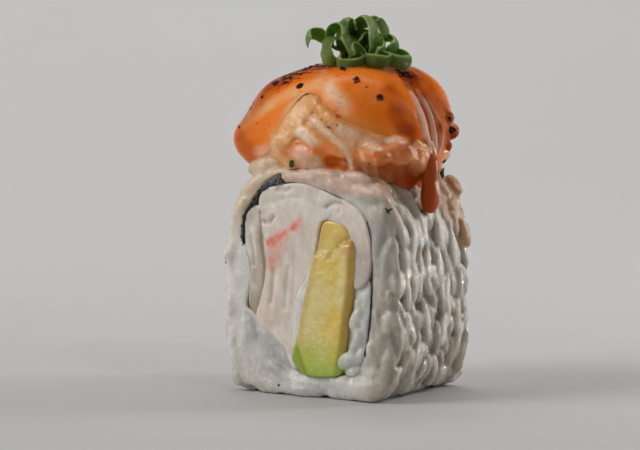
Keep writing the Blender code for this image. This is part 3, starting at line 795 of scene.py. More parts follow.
STRIP_FOLD_PAINTED_SHADE = (0.46, 0.42, 0.31)
STRIP_FOOT_PAINTED_SHADOW = (0.34, 0.29, 0.16)


def creased(x, z, face, creases, base, seed):
    height = base + 0.2 * grain_noise(x, z, face, 4.5, seed)
    height = height + 0.06 * grain_noise(x, z, face, 1.4, seed + 7, (1.0, 0.5))
    for line, width, depth in creases:
        height = height - depth * line_bell(x, z, line, width)
    return height


def crab_relief(x, z, face):
    return creased(x, z, face, CRAB_CREASES, 0.25, 3)


def wrap_relief(x, z, face):
    return crab_relief(x, z, face) - 0.03


def crab_tint(x, z, face):
    pale = ramp(grain_noise(x, z, face, 2.0, 12, (1.0, 0.6)), -0.6, 0.8)
    pink = ramp(grain_noise(x, z, face, 4.0, 13, (1.0, 0.4)), -0.2, 1.0) * ramp(30.0 - z, -3, 6)
    # side: painted shade down the wrap's right flank, low beside the avocado
    side = ramp(x, 8.0, 12.0) * ramp(30.0 - z, 0.0, 6.0)
    fade = 0.55 * stroke(x, z, CORAL_FADE, 2.2, 0.9) * (0.8 + 0.4 * grain_noise(x, z, face, 0.8, 15))
    away, along = near_line(x, z, CORAL_LINE)
    speckle = grain_noise(x, z, face, 0.7, 14)
    width = 0.95 + 0.3 * speckle + 0.25 * np.sin(along * 9)
    broken = 0.55 + 0.45 * ramp(speckle + np.sin(along * 17), -1.0, 0.4)
    return layered(
        CRAB_WHITE, (CRAB_PALE, pale), (CRAB_PINK, 0.5 * pink), (CRAB_PAINTED_SHADE, 0.95 * side),
        (CORAL, np.clip(fade, 0, 1)), (CORAL, 0.9 * broken * (1 - ramp(away, width * 0.1, width))),
        (CORAL, 0.5 * stroke(x, z, PINK_LOW, 1.2, 0.9)),
        (CRAB_PALE, ramp(15.0 - z + x * 0.3, 0, 6) * 0.25))


def strip_relief(x, z, face):
    return creased(x, z, face, STRIP_CREASES, 0.1 - 0.5 * ramp(21.0 - z, 0, 6), 6)


def strip_tint(x, z, face):
    pale = ramp(grain_noise(x, z, face, 1.6, 32, (1.0, 0.3)), -0.5, 0.6)
    # foot: painted shadow where the strip's lower end sinks back from the rice
    foot = 0.75 * ramp(20.0 - z, 0, 4.5) * ramp(-9.0 - x, -0.6, 0.6)
    # painted shade along the strip's fold, and painted shadow at its foot
    return layered(STRIP_TAN, (CRAB_PALE, pale), (STRIP_FOLD_PAINTED_SHADE, 0.4 * line_bell(x, z, STRIP_FOLD, 0.5)),
                   (STRIP_FOOT_PAINTED_SHADOW, foot))


AVOCADO_YELLOW = (0.86, 0.64, 0.14)
AVOCADO_CREAM = (0.84, 0.72, 0.32)
AVOCADO_AMBER = (0.66, 0.42, 0.09)
AVOCADO_OCHRE_SHADE = (0.64, 0.38, 0.035)
AVOCADO_LEDGE = (0.80, 0.66, 0.36)
AVOCADO_LIME = (0.50, 0.62, 0.09)
AVOCADO_GREEN = (0.27, 0.42, 0.025)
AVOCADO_FOOT = (0.32, 0.54, 0.05)
CORAL_SPECKLE = (0.80, 0.30, 0.20)
AVOCADO_STEP = [(2.2, 24.8), (3.6, 25.2), (5.2, 24.8), (6.2, 25.8), (7.4, 27.3), (9.6, 27.6)]
AVOCADO_RIDGE = [(-1.6, 9.6), (-0.6, 7.4), (0.6, 4.0)]
AVOCADO_LEVELS = (5, 10, 15, 20, 25, 30)  # the heights at which its two sides' x is given
AVOCADO_LEFT = (-1.2, -0.9, -0.2, 1.0, 2.3, 3.6)
AVOCADO_RIGHT = (6.4, 7.3, 8.0, 8.7, 9.0, 7.6)


def avocado_relief(x, z, face):
    height = 1.15 + 0.1 * grain_noise(x, z, face, 3.0, 41)
    height = height + 0.05 * grain_noise(x, z, face, 0.8, 42)
    line = np.interp(x, *zip(*AVOCADO_STEP))
    height = height - 0.8 * ramp(z - line - 0.3 * grain_noise(x, z, face, 0.8, 45), -0.3, 0.5)
    height = height - 0.45 * line_bell(x, z, AVOCADO_STEP[2:], 0.5)
    right = np.interp(z, AVOCADO_LEVELS, AVOCADO_RIGHT)
    height = height - 0.7 * ramp(x - right, -0.3, 0.9) * ramp(26.5 - z, 0, 2)
    return height - 0.2 * line_bell(x, z, AVOCADO_RIDGE, 0.35)


def avocado_tint(x, z, face):
    pale = ramp(grain_noise(x, z, face, 3.0, 43, (1.0, 0.5)), -0.5, 0.7)
    left = np.interp(z, AVOCADO_LEVELS, AVOCADO_LEFT)
    right = np.interp(z, AVOCADO_LEVELS, AVOCADO_RIGHT)
    # top: the recess above the step at the right, where painted shade goes
    top = ramp(z, 25.6, 27.4) * ramp(30.2 - z, 0, 2) * ramp(x, 4.0, 7.5)
    low = ramp(12.5 - z + 0.9 * grain_noise(x, z, face, 2.0, 44), 0, 8.0)
    wedge = ramp(np.interp(z, (4.0, 7.4, 9.6, 12), (0.9, -0.4, -1.5, -2.4)) - x, -0.3, 0.3)
    speckle = ramp(grain_noise(x, z, face, 0.8, 46), -0.4, 0.5)
    return layered(
        AVOCADO_YELLOW, (AVOCADO_CREAM, pale),
        (AVOCADO_AMBER, 0.5 * ramp(left + 1.6 - x, 0, 1.4)),
        # ochre as painted shade on the side wall at the right and in the recess above the step
        (AVOCADO_OCHRE_SHADE, 0.85 * ramp(x - right, -0.9, 0.5)), (AVOCADO_OCHRE_SHADE, 0.35 * top),
        (AVOCADO_LEDGE, 0.5 * line_bell(x, z, AVOCADO_STEP[:4], 0.5)), (AVOCADO_LIME, low),
        (AVOCADO_GREEN, 0.75 * wedge * ramp(11.0 - z, 0, 2.5)),
        (AVOCADO_FOOT, ramp(6.0 - z, 0, 1.6) * 0.4),
        (CORAL_SPECKLE, 0.8 * bell(x - 8.8, 1.5) * bell(z - 26.4, 1.1) * speckle))


CHEESE_WHITE = (0.88, 0.87, 0.80)
CHEESE_SHADE = (0.80, 0.80, 0.77)
CHEESE_PINK = (0.80, 0.52, 0.42)


def cream_relief(x, z, face):
    return 0.75 + 0.16 * grain_noise(x, z, face, 1.6, 51)


def cream_tint(x, z, face):
    shade = ramp(grain_noise(x, z, face, 1.2, 52), -0.5, 0.5)
    return layered(CHEESE_WHITE, (CHEESE_SHADE, shade),
                   (CHEESE_PINK, 0.6 * bell(x + 3.0, 0.9) * bell(z - 8.6, 1.4)))


def build_fillings():
    crab = flesh_material("crab_look", 0.36, 0.2, 0.42, 1.8, 0.1, (1.0, 0.75, 0.6), 0.7, 0.0012,
                          (1, 1, 0.55))
    avocado = flesh_material("avocado_look", 0.3, 0.14, 0.36, 1.6, 0.09, (1.0, 0.82, 0.25), 0.4,
                             0.0014)
    cream = flesh_material("cream_cheese_look", 0.4, 0.3, 0.45, 1.5, 0.06, (1, 0.95, 0.85), 0.4)
    pieces = [  # solid, outline, relief, tint, material, slot, growth and rounding of its edges
        ("crab_stick", CRAB_STICK_OUTLINE, crab_relief, crab_tint, crab, "crab_stick", 0.35, 0.16),
        ("crab_wrap", CRAB_WRAP_OUTLINE, wrap_relief, crab_tint, crab, "crab_stick", 0.2, 0.16),
        ("crab_strip", CRAB_STRIP_OUTLINE, strip_relief, strip_tint, crab, "crab_stick", 0.1, 0.4),
        ("avocado", AVOCADO_OUTLINE, avocado_relief, avocado_tint, avocado, "avocado", 0.0, 0.45),
        ("cream_cheese", CREAM_CHEESE_OUTLINE, cream_relief, cream_tint, cream, "cream_cheese",
         0.15, 0.45),
    ]
    for solid, outline, relief, tint, made, slot, grow, edge in pieces:
        dress(cut_filling(solid + "_look", outline, relief, tint, grow, edge), made, slot, solid)


# Nori

NORI_HALF_THICKNESS = 0.085
NORI_DOUBLED_AT = 7.35  # in knots from the sheet's first edge
NORI_GREY = (0.085, 0.080, 0.085)
NORI_ROWS = (-1.0, -0.93, -0.6, 0.0, 0.6, 0.93, 1.0)  # along the roll, in half lengths
FLAP_BLACK = (0.05, 0.05, 0.05)
FLAP_GREY = (0.34, 0.33, 0.345)


def build_nori():
    """The seaweed sheet: an open ribbon with a ragged edge at both cuts."""
    loop = nori_loop()[:NORI_STEPS * (len(NORI_PATH) - 1) + 1]
    path = smooth_path(loop, 2)
    along = np.concatenate([[0], np.cumsum(np.hypot(*np.diff(path, axis=0).T))])
    knots = np.linspace(0, len(NORI_PATH) - 1, len(path))
    direction = np.gradient(path, axis=0)
    direction /= np.hypot(direction[:, 0], direction[:, 1])[:, None]
    out = np.column_stack([direction[:, 1], -direction[:, 0]])
    spots = np.column_stack([along, np.zeros(len(along)), np.zeros(len(along))])
    thick = NORI_HALF_THICKNESS + 0.04 * value_noise(spots, 1.1, 62)
    thick += 0.24 * bell(knots - NORI_DOUBLED_AT, 0.75)
    hidden = ramp(knots, NORI_SEEN_UNTIL, NORI_SEEN_UNTIL + 0.3)
    places, count = [], len(path)
    for face_offset in NORI_ROWS:
        recess = 0.12 + 0.22 * np.maximum(0, value_noise(spots + 31 * face_offset, 0.8, 63))
        recess = np.where(abs(face_offset) == 1, recess, 0) + hidden * 1.6
        y = face_offset * (HALF_LENGTH - recess)
        wobble = 0.12 * value_noise(spots + 17 * face_offset, 2.4, 64)
        for side in (-1, 1):
            places.append(np.column_stack([
                path[:, 0] + out[:, 0] * (side * thick + wobble), y,
                path[:, 1] + out[:, 1] * (side * thick + wobble)]))
    faces = []
    rows = len(NORI_ROWS)

    def spot(row, side, i):
        return (2 * row + side) * count + i

    for i in range(count - 1):
        for row in range(rows - 1):
            for side in (0, 1):
                quad = [spot(row, side, i), spot(row + 1, side, i),
                        spot(row + 1, side, i + 1), spot(row, side, i + 1)]
                faces.append(quad if side else quad[::-1])
        faces.append([spot(0, 0, i), spot(0, 1, i), spot(0, 1, i + 1), spot(0, 0, i + 1)][::-1])
        faces.append([spot(rows - 1, 0, i), spot(rows - 1, 1, i), spot(rows - 1, 1, i + 1),
                      spot(rows - 1, 0, i + 1)])
    for i, flip in ((0, False), (count - 1, True)):
        for row in range(rows - 1):
            quad = [spot(row, 0, i), spot(row + 1, 0, i), spot(row + 1, 1, i), spot(row, 1, i)]
            faces.append(quad[::-1] if flip else quad)
    obj = mesh_object("nori_look", np.vstack(places), faces)
    fix_normals(obj)
    dress(obj, nori_material("nori_look", NORI_GREY), "nori", "nori_sheet")
    flap = cut_filling("nori_flap_look", NORI_FLAP, flap_relief, flap_tint, 0.0, 0.12)
    dress(flap, nori_material("nori_flap_skin", "tint"), "nori")


def flap_relief(x, z, face):
    torn = 0.32 * grain_noise(x, z, face, 0.9, 65)
    return 0.28 + torn + 0.25 * ramp(z, 35.0, 37.5) + 0.3 * grain_noise(x, z, face, 0.45, 66)


def flap_tint(x, z, face):
    share = ramp(z + 0.5 * grain_noise(x, z, face, 0.9, 67), 35.4, 37.2)
    return mix(FLAP_BLACK, FLAP_GREY, share)


def fix_normals(obj):
    made = bmesh.new()
    made.from_mesh(obj.data)
    bmesh.ops.recalc_face_normals(made, faces=made.faces)
    made.to_mesh(obj.data)
    made.free()


# Rice

RICE_STEP = 0.335
INNER_RICE_STEP = 0.27
RICE_WHITE = (0.87, 0.84, 0.785)
RICE_CLEAR = (0.50, 0.47, 0.42)
RICE_WARM = (0.79, 0.61, 0.41)
RICE_GREY = (0.46, 0.46, 0.465)
RICE_BLUE = (0.66, 0.69, 0.71)
RICE_PINK = (0.74, 0.50, 0.38)
RICE_PATCH = (0.58, 0.61, 0.63)
RICE_TAN = (0.60, 0.44, 0.28)
RICE_AMBER = (0.60, 0.47, 0.29)
RICE_STAIN = (0.74, 0.44, 0.23)
RICE_SOAKED = (0.50, 0.24, 0.06)
SIDE_CLEAR_AND_SHADE = (0.63, 0.595, 0.54)
GROOVE_PAINTED_SHADE = (0.74, 0.68, 0.61)
INNER_WHITE = (0.76, 0.77, 0.73)
INNER_CLEAR = (0.58, 0.60, 0.58)
INNER_GREEN = (0.56, 0.62, 0.28)
OUTLINE_STEPS = 160
GRAIN_LENGTH = 6.2
GRAIN_WIDTH = 2.9
GRAIN_DEPTH = 2.3
GRAIN_ROW_SPACING = 3.9
GRAIN_COLUMN_SPACING = 2.3
CUT_GRAINS = 110
FLOOR_GAP = 0.05
UNDERSIDE = 0.02
FACE_COVER = 1.2
CORE_INSET = 1.0
CORE_EDGE = 1.4
PRESSED_AT = 0.45  # how far the pressed grains stand out of the roll's outline
SIDE_LUMPS = [  # separate grain ends on the shown side: place in the frame, half lengths, turn, lift
    ((466, 365), (1.3, 1.9), 20, 0.1), ((471, 345), (1.5, 2.0), -10, 0.15),
    ((455, 376), (1.5, 1.5), 30, 0.1), ((472, 322), (1.1, 1.8), -20, 0.0),
    ((470, 298), (1.2, 2.6), -8, 0.0), ((440, 266), (1.3, 3.4), -14, 0.2),
    ((430, 272), (1.2, 1.9), 62, 0.3), ((418, 262), (1.0, 4.2), -12, 0.25),
    ((408, 290), (1.0, 3.6), -6, 0.2), ((388, 322), (0.8, 2.4), 10, 0.3),
    ((401, 338), (0.9, 2.6), -8, 0.25), ((426, 318), (1.1, 3.2), -12, 0.2),
    ((444, 330), (1.2, 3.0), 8, 0.2), ((416, 356), (1.2, 2.6), 12, 0.2),
    ((434, 366), (1.3, 2.2), -16, 0.2), ((372, 352), (0.8, 1.9), -16, 0.3),
    ((398, 376), (1.1, 1.9), 40, 0.2), ((448, 300), (1.0, 3.6), -10, 0.2),
    ((424, 228), (0.9, 3.6), -16, 0.2), ((440, 220), (1.0, 3.0), -20, 0.2),
    ((455, 250), (1.1, 3.4), -8, 0.15), ((402, 232), (0.9, 3.2), -14, 0.15),
    ((395, 262), (0.8, 3.4), -10, 0.15), ((460, 280), (1.0, 3.0), -6, 0.1),
]
RICE_GLAZE = [  # in units of the camera's frame: where the sauce has soaked in at the upper right
    (446, 176), (456, 172), (466, 182), (472, 200), (474, 222), (472, 246), (462, 240), (456, 222),
    (448, 210), (443, 194),
]
RICE_HUMP = ((-9.4, -11.2, 39.9), (4.0, 1.9, 1.9))
GREY_ZONE = [
    (-13.4, 15.0), (-11.4, 14.4), (-6.7, 10.4), (-3.2, 7.8), (-2.6, 4.8), (-4.6, 2.6), (-8.1, 2.8),
    (-10.6, 5.2), (-13.0, 9.6),
]
FACE_LUMPS = [  # x, z, half length, half height, turn in degrees and stand, on the shown cut face
    (-0.2, 1.9, 4.8, 2.0, 4, 0.75), (7.1, 2.7, 3.1, 1.8, -30, 0.95), (12.6, 2.0, 4.4, 2.1, 2, 0.9),
    (-8.2, 1.5, 3.2, 1.5, -10, 0.35), (-6.6, 4.6, 3.0, 1.1, -34, 0.45), (-9.6, 6.6, 3.4, 1.2, -52, 0.35),
    (-5.0, 7.0, 2.8, 0.9, -40, 0.3), (-8.6, 10.0, 3.2, 1.0, -44, 0.25), (-11.9, 11.6, 2.6, 1.1, -60, 0.3),
    (-4.4, 3.0, 1.8, 1.0, -20, 0.5), (14.6, 30.2, 1.5, 5.6, 8, 0.5), (15.0, 19.0, 1.4, 4.0, 4, 0.35),
    (14.6, 11.2, 1.3, 3.6, -6, 0.4), (15.6, 24.4, 1.2, 3.8, 10, 0.45), (16.0, 6.8, 1.3, 3.0, 12, 0.5),
    (13.9, 25.6, 0.9, 3.2, 3, 0.35), (14.0, 15.4, 0.9, 2.8, -3, 0.3),
    (-0.8, 38.3, 4.4, 1.2, -2, 0.7), (6.2, 37.2, 4.6, 1.5, -14, 0.9), (12.0, 35.9, 3.6, 1.6, -10, 0.8),
    (3.0, 39.0, 3.4, 1.0, -6, 0.9), (9.6, 38.6, 3.0, 1.1, -8, 0.7), (15.0, 36.2, 2.4, 1.5, -30, 0.6),
    (-6.6, 38.6, 3.6, 1.1, 14, 0.45), (-12.0, 36.2, 3.4, 1.2, 40, 0.3),
]


def section(grid):
    """X and Z over one cross-section of a grid."""
    return grid[0][:, 0, :], grid[2][:, 0, :]


def section_distance(grid, outline):
    """The distance of a grid's points to an outline that runs all along the roll."""
    return outline_distance(*section(grid), outline)[:, None, :]


def rice_core(field):
    """Fills the field with the core: the roll's outline, cut off by the two faces."""
    grid = field.everywhere()
    x, z = section(grid)
    ring = section_distance(grid, roll_outline(OUTLINE_STEPS))
    smear = (ramp(-x, 2.0, 8.0) * ramp(z, 2.0, 7.0))[:, None, :] * ramp(np.abs(grid[1]), 7.0, 11.0)
    ring = ring + CORE_INSET * (1 - 0.75 * smear)
    warp = 0.2 * rough_noise(np.column_stack([x.ravel(), np.zeros(x.size), z.ravel()]), 5, 71)
    streaks = 0.07 * rough_noise(
        np.column_stack([x.ravel() * 1.6, np.zeros(x.size), z.ravel() * 0.3]), 1.6, 73)
    face = np.abs(grid[1]) - (HALF_LENGTH - 0.25 + (warp + streaks).reshape(x.shape)[:, None, :])
    both = np.maximum(ring + CORE_EDGE, 0) ** 2 + np.maximum(face + CORE_EDGE, 0) ** 2
    solid = np.sqrt(both) - CORE_EDGE + np.minimum(np.maximum(ring, face) + CORE_EDGE, 0)
    field.values[:] = np.maximum(solid, UNDERSIDE - grid[2])
    return grid


def grain_axes(across, long_way):
    """A matrix of a grain's own directions, from one across it and the one along it."""
    long_way = long_way / np.linalg.norm(long_way)
    side = np.cross(across, long_way)
    side /= np.linalg.norm(side)
    return np.column_stack([side, np.cross(long_way, side), long_way])


def above_floor(centre, matrix, half):
    """A grain's centre, moved up where the grain would reach below the floor."""
    lowest = centre[2] - math.sqrt(((matrix[2] * np.array(half)) ** 2).sum())
    return centre + (0, 0, max(0, FLOOR_GAP - lowest))


def along_ring(ring, index):
    """The direction of a closed outline at one of its points."""
    along = ring[(index + 3) % len(ring)] - ring[index - 3]
    return along / np.hypot(*along)


def side_grains(field, draw):
    """Long grains lying along the roll's outside, pressed by the mat until they almost fuse."""
    ring = np.array(roll_outline(720))
    perimeter = np.hypot(*(ring - np.roll(ring, 1, axis=0)).T).sum()
    rows = int(perimeter / GRAIN_ROW_SPACING)
    columns = int(2 * HALF_LENGTH / GRAIN_COLUMN_SPACING)
    for column in range(columns):
        for row in range(rows):
            y = ((column + 0.5) / columns - 0.5) * 2 * (HALF_LENGTH - 0.5) + draw.uniform(-0.7, 0.7)
            share = (row + 0.5 * (column % 2) + draw.uniform(-0.42, 0.42)) / rows
            index = int(share * len(ring)) % len(ring)
            x, z = ring[index]
            smeared = x < -3 and abs(y) > 9.5 and z > 4
            along = along_ring(ring, index)
            out = np.array([along[1], 0, -along[0]])
            slant = math.radians(draw.normal(-12, 18))
            long_way = np.array([along[0], 0, along[1]]) * math.cos(slant)
            long_way += np.array([0, math.sin(slant), 0]) + out * draw.normal(0.0, 0.13)
            matrix = grain_axes(out, long_way)
            half = (GRAIN_WIDTH / 2 * draw.uniform(0.72, 1.15), GRAIN_DEPTH / 2 * draw.uniform(0.85, 1.1),
                    GRAIN_LENGTH / 2 * draw.uniform(0.7, 1.15))
            sunk = 0.8 + draw.uniform(-0.4, 0.5) + (0.8 if smeared else 0)
            sunk += 0.7 if z > 33 else 0
            centre = above_floor(np.array([x, y, z]) - out * sunk, matrix, half)
            field.blob_by_axes(centre, half, matrix, 0.36, draw.uniform(-1, 1))


def side_lumps(field, draw):
    """The grains that stand out on the side that shows, and the same on the hidden side."""
    for facing in (1, -1):
        for spot, (wide, high), turn, lift in SIDE_LUMPS:
            place = on_surface(field, spot, 0.0, facing)
            if place is None or place[0] * facing < 12:
                continue
            angle = math.radians(turn)
            long_way = np.array([0, facing * math.sin(angle), math.cos(angle)])
            side = np.array([0, math.cos(angle), -facing * math.sin(angle)])
            matrix = np.column_stack([side, np.cross(long_way, side), long_way])
            place = place - np.array((facing * (0.45 - lift), 0, 0))
            place[2] = max(place[2], high + 0.1)
            field.blob_by_axes(place, (wide, 1.0, high), matrix, 0.25, draw.uniform(0.2, 1.0))


def face_grain(field, draw, face, x, z, half, turn, stand, tone):
    """A grain that lies flat in a cut face, turned by degrees from level."""
    angle = math.radians(turn)
    long_way = np.array([math.cos(angle), draw.normal(0, 0.06), math.sin(angle)])
    matrix = grain_axes((0, face, 0), long_way)
    centre = np.array([x, face * (HALF_LENGTH - 0.25 + stand - half[1]), z])
    field.blob_by_axes(above_floor(centre, matrix, half), half, matrix, 0.4, tone)


def cut_grains(field, draw):
    """Grains that the knife passed, in both cut faces."""
    ring = np.array(roll_outline(480))
    for face in (-1, 1):
        for x, z, half_length, half_height, turn, stand in FACE_LUMPS:
            wobble = 0 if face < 0 else draw.uniform(-1.2, 1.2)
            if half_height > half_length:
                half_length, half_height, turn = half_height, half_length, 90 - turn
            half = (half_height, 1.25, half_length)
            stand += 0.3 if x > 12 else 0.1
            face_grain(field, draw, face, x + wobble, z + wobble * 0.3, half, turn, stand,
                       draw.uniform(-0.6, 0.9))
        for _ in range(CUT_GRAINS):
            index = int(draw.uniform(0, len(ring)))
            inset = draw.uniform(0.9, 4.2)
            along = along_ring(ring, index)
            x = ring[index][0] - along[1] * inset
            z = ring[index][1] + along[0] * inset
            smeared = x < -4 and z > 9
            turn = math.degrees(math.atan2(along[1], along[0])) + draw.normal(0, 16)
            half = (GRAIN_WIDTH / 2 * draw.uniform(0.6, 1.0), 1.0,
                    GRAIN_LENGTH / 2 * draw.uniform(0.5, 0.95))
            stand = -0.1 if smeared else draw.uniform(0.1, 0.4)
            face_grain(field, draw, face, x, z, half, turn, stand,
                       draw.uniform(-1, 1) * (0.5 if smeared else 1))


def press_sides(field, grid):
    """The rolling mat has flattened the grains that stood out of the sides."""
    field.take_everywhere(-section_distance(grid, roll_outline(OUTLINE_STEPS, PRESSED_AT)), 0.5)


def carve_hole(field, grid):
    """Takes out the space that the nori and the fillings fill."""
    x, z = section(grid)
    loop = nori_loop()
    deep = section_distance(grid, moved_out(loop, 0.12))
    seen_part = loop[:int(NORI_SEEN_UNTIL * NORI_STEPS)]
    rest = smooth_path(RICE_CLOSES_OVER, 4)[1:]
    at_face = outline_distance(x, z, list(seen_part) + [tuple(p) for p in rest] + [(10.2, 5.4)])
    ragged = np.column_stack([x.ravel(), np.zeros(x.size), z.ravel()])
    at_face = at_face + (0.03 + 0.1 * value_noise(ragged, 0.9, 74)).reshape(x.shape)
    at_face = np.minimum(at_face, outline_distance(x, z, smooth_loop(NORI_FLAP, 3)) - 0.05)
    cover = ramp(np.abs(grid[1]), HALF_LENGTH - FACE_COVER - 0.4, HALF_LENGTH - FACE_COVER + 0.4)
    field.take_everywhere(deep * (1 - cover) + at_face[:, None, :] * cover, 0.22)


def rice_tint(places, tone):
    """The rice's painted colour, from each place and its grain's own tone, with painted shade on the sides
    and in the grooves and painted light on the proud grains.
    """
    x, y, z = places.T
    front = ramp(np.abs(y), HALF_LENGTH - 1.8, HALF_LENGTH - 0.6)
    side = 1 - ramp(np.abs(y), HALF_LENGTH - 1.2, HALF_LENGTH - 0.4)
    smear = front * ramp(-x, 2.0, 7.0) * ramp(z, 8.0, 14.0)
    streak = value_noise(places * (1.4, 1, 0.22), 1.4, 84)
    warm = ramp(z + 1.5 * value_noise(places, 4, 81), 25.0, 35.0)
    grey = ramp(-outline_distance(x, z, GREY_ZONE), -0.4, 1.4) * (0.7 + 0.3 * streak)
    low = front * ramp(5.0 - z, 0, 3) * ramp(x, -7, -3) * ramp(9 - x, 0, 3)
    patch = front * ramp(x, 13.0, 14.2) * ramp(17.2 - x, 0, 1.2) * ramp(z, 22, 25) * ramp(34 - z, 0, 3)
    colour = layered(
        RICE_WHITE, (RICE_CLEAR, 0.46 - 0.46 * tone[:, 0]), (RICE_WHITE, 0.75 * smear),
        (RICE_BLUE, 0.18 * smear * ramp(streak, 0.1, 0.9)), (RICE_WARM, 0.9 * warm * ramp(-x, -1.0, 8.0)),
        (RICE_GREY, 0.7 * front * grey), (RICE_BLUE, 0.5 * low), (RICE_PATCH, 0.6 * patch))

    ring = outline_distance(x, z, roll_outline(OUTLINE_STEPS))
    # painted shade on the rice's sides, darker lower down, standing partly for the grains' clearer look
    # there
    clear_and_shaded_side = np.maximum(ramp(x, 11.0, 15.0), side * ramp(-x, 11.0, 15.0))
    clear_and_shaded_side = clear_and_shaded_side * (0.85 + 0.15 * ramp(22.0 - z, 0, 14))
    # painted shade between the grains on the sides, and where the cut face sinks in
    groove_shade = side * (1 - ramp(ring, -0.9, -0.05))
    groove_shade = np.maximum(groove_shade, front * ramp(HALF_LENGTH - 0.4 - np.abs(y), 0.0, 0.5) * 0.7)
    colour = colour * mix(1.0, SIDE_CLEAR_AND_SHADE, clear_and_shaded_side) * mix(1.0, GROOVE_PAINTED_SHADE, groove_shade)

    amber = ramp(value_noise(places, 3.6, 85), 0.35, 0.8) * ramp(x, 12, 17)
    stain = ramp(z + 2.2 * value_noise(places, 2.6, 83), 36.5, 39.5) * (1 - 0.2 * front)
    band = front * ramp(z, 34.4, 36.4) * ramp(x, -6, -1)
    spread = places + 0.6 * np.column_stack([rough_noise(places, 1.6, 82)] * 3)
    across, down, _ = in_frame(spread)
    glaze = ramp(-outline_distance(across, down, RICE_GLAZE), -8, 4) * ramp(x, 8, 11)
    return layered(
        # painted light on the grains that stand proud of the outline on the sides
        colour, (RICE_WHITE, 0.35 * side * ramp(ring, 0.2, 0.55)),
        (RICE_TAN, 0.35 * ramp(x, 10, 16) * ramp(z, 27, 36)), (RICE_AMBER, 0.4 * amber),
        (RICE_STAIN, 0.6 * stain), (RICE_PINK, 0.8 * band), (RICE_SOAKED, 0.85 * glaze))


def build_rice():
    field = Field((-20.4, -15.2, -0.6), (20.4, 15.2, 42.4), RICE_STEP)
    grid = rice_core(field)
    draw = np.random.default_rng(70)
    side_grains(field, draw)
    side_lumps(field, draw)
    cut_grains(field, draw)
    press_sides(field, grid)
    for facing in (1, -1):
        place, half = RICE_HUMP
        field.blob(turned(place, facing), half, (0, facing * -14, 0), 0.5, -0.2)
    field.ruffle(1.2, 0.09, 72, 3)
    carve_hole(field, grid)
    field.values = np.maximum(field.values, (UNDERSIDE - grid[2]).astype(np.float32))
    obj, places, tone = field.mesh("rice_outer_look")
    paint(obj, "tint", rice_tint(places, tone))
    dress(obj, rice_material("rice_look"), "rice", "rice_outer")
    return field


INNER_GRAINS = [  # x, z, turn from level in degrees, half length, half width, stand
    (10.4, 21.2, 80, 2.4, 0.9, 0.1), (11.4, 17.6, 84, 2.6, 0.9, 0.1), (10.2, 17.2, 76, 2.2, 0.9, 0.25),
    (9.7, 14.2, 66, 2.3, 1.15, 0.75), (11.3, 13.0, 95, 2.3, 0.9, 0.2), (10.1, 10.9, 80, 2.1, 1.2, 0.6),
    (9.3, 9.4, 60, 1.7, 0.9, 0.6), (10.6, 8.0, 70, 1.5, 0.9, 0.3), (7.7, 6.9, 28, 2.3, 1.35, 1.35),
    (9.3, 7.2, 20, 1.7, 1.2, 0.9), (9.2, 5.2, 20, 1.8, 1.0, 0.6),
]


def build_inner_rice():
    """The few grains inside the nori at the avocado's right, and the lumps at its foot."""
    field = Field((4.6, -15.4, 2.0), (14.0, 15.4, 25.0), INNER_RICE_STEP)
    grid = field.everywhere()
    area = section_distance(grid, smooth_loop(INNER_RICE_OUTLINE, 4))
    field.values[:] = np.maximum(area, np.abs(grid[1]) - (HALF_LENGTH - 0.45))
    draw = np.random.default_rng(75)
    for face in (-1, 1):
        for gx, gz, turn, half_length, half_width, stand in INNER_GRAINS:
            half = (half_width, 1.1, half_length)
            face_grain(field, draw, face, gx, gz, half, turn, stand, draw.uniform(-1, 1))
    field.ruffle(1.0, 0.06, 76)
    obj, places, tone = field.mesh("rice_inner_look")
    x, _, z = places.T
    foot = ramp(9.0 - x, 0, 1.5) * ramp(12 - z, 0, 5)
    paint(obj, "tint", layered(INNER_WHITE, (INNER_CLEAR, 0.4 - 0.4 * tone[:, 0]),
                               (INNER_GREEN, 0.4 * foot)))
    dress(obj, rice_material("rice_inner_skin"), "rice", "rice_inner")


# The topping

TOPPING_STEP = 0.29
TOPPING_LOW, TOPPING_HIGH = (-22, -17.5, 30.0), (22, 18, 60.5)
SAUCE_LOBES = [  # centre, half lengths along X, Y and Z, turn about Z and lean about Y
    (-0.5, 0.8, 44.2, 18.6, 14.6, 13.8, 0, 0),
    (-13.2, -3.6, 44.4, 6.6, 8.0, 5.4, 0, 0),
    (-9.0, -1.0, 46.4, 9.6, 9.6, 9.2, 0, 0),
    (6.6, 6.6, 47.6, 9.8, 8.6, 9.8, 0, 0),
    (4.4, -5.0, 49.4, 9.6, 8.4, 7.4, 0, 8),
]
SAUCE_DRIPS = [  # given as the lobes are
    (17.4, -1.6, 40.8, 1.7, 2.0, 3.4, 0, 0),
    (18.1, -1.8, 37.4, 1.3, 1.9, 4.4, 0, 0),
    (18.1, -2.0, 34.6, 1.35, 2.2, 2.6, 0, 0),
    (-17.2, 3.0, 39.6, 1.7, 2.6, 3.6, 0, 0),
    (1.0, 13.6, 39.6, 3.0, 1.4, 3.2, 0, 0),
]
SAUCE_ORANGE = (0.95, 0.20, 0.001)
# pale sauce, also laid on as a painted highlight
SAUCE_PALE_AND_HIGHLIGHT = (0.97, 0.52, 0.27)
# deep red sauce, also laid on as painted shade on the dome's right and lower parts
SAUCE_DEEP_AND_SHADE = (0.40, 0.04, 0.001)
SAUCE_BROWN = (0.34, 0.055, 0.002)
MIX_BEIGE = (0.89, 0.54, 0.25)
MIX_PEACH = (0.88, 0.45, 0.18)
MIX_PINK = (0.88, 0.55, 0.38)
MIX_WHITE = (0.93, 0.74, 0.56)
MIX_ORANGE = (0.86, 0.17, 0.002)
MIX_GLAZE = (0.82, 0.33, 0.06)
MIX_BROWN = (0.46, 0.10, 0.012)
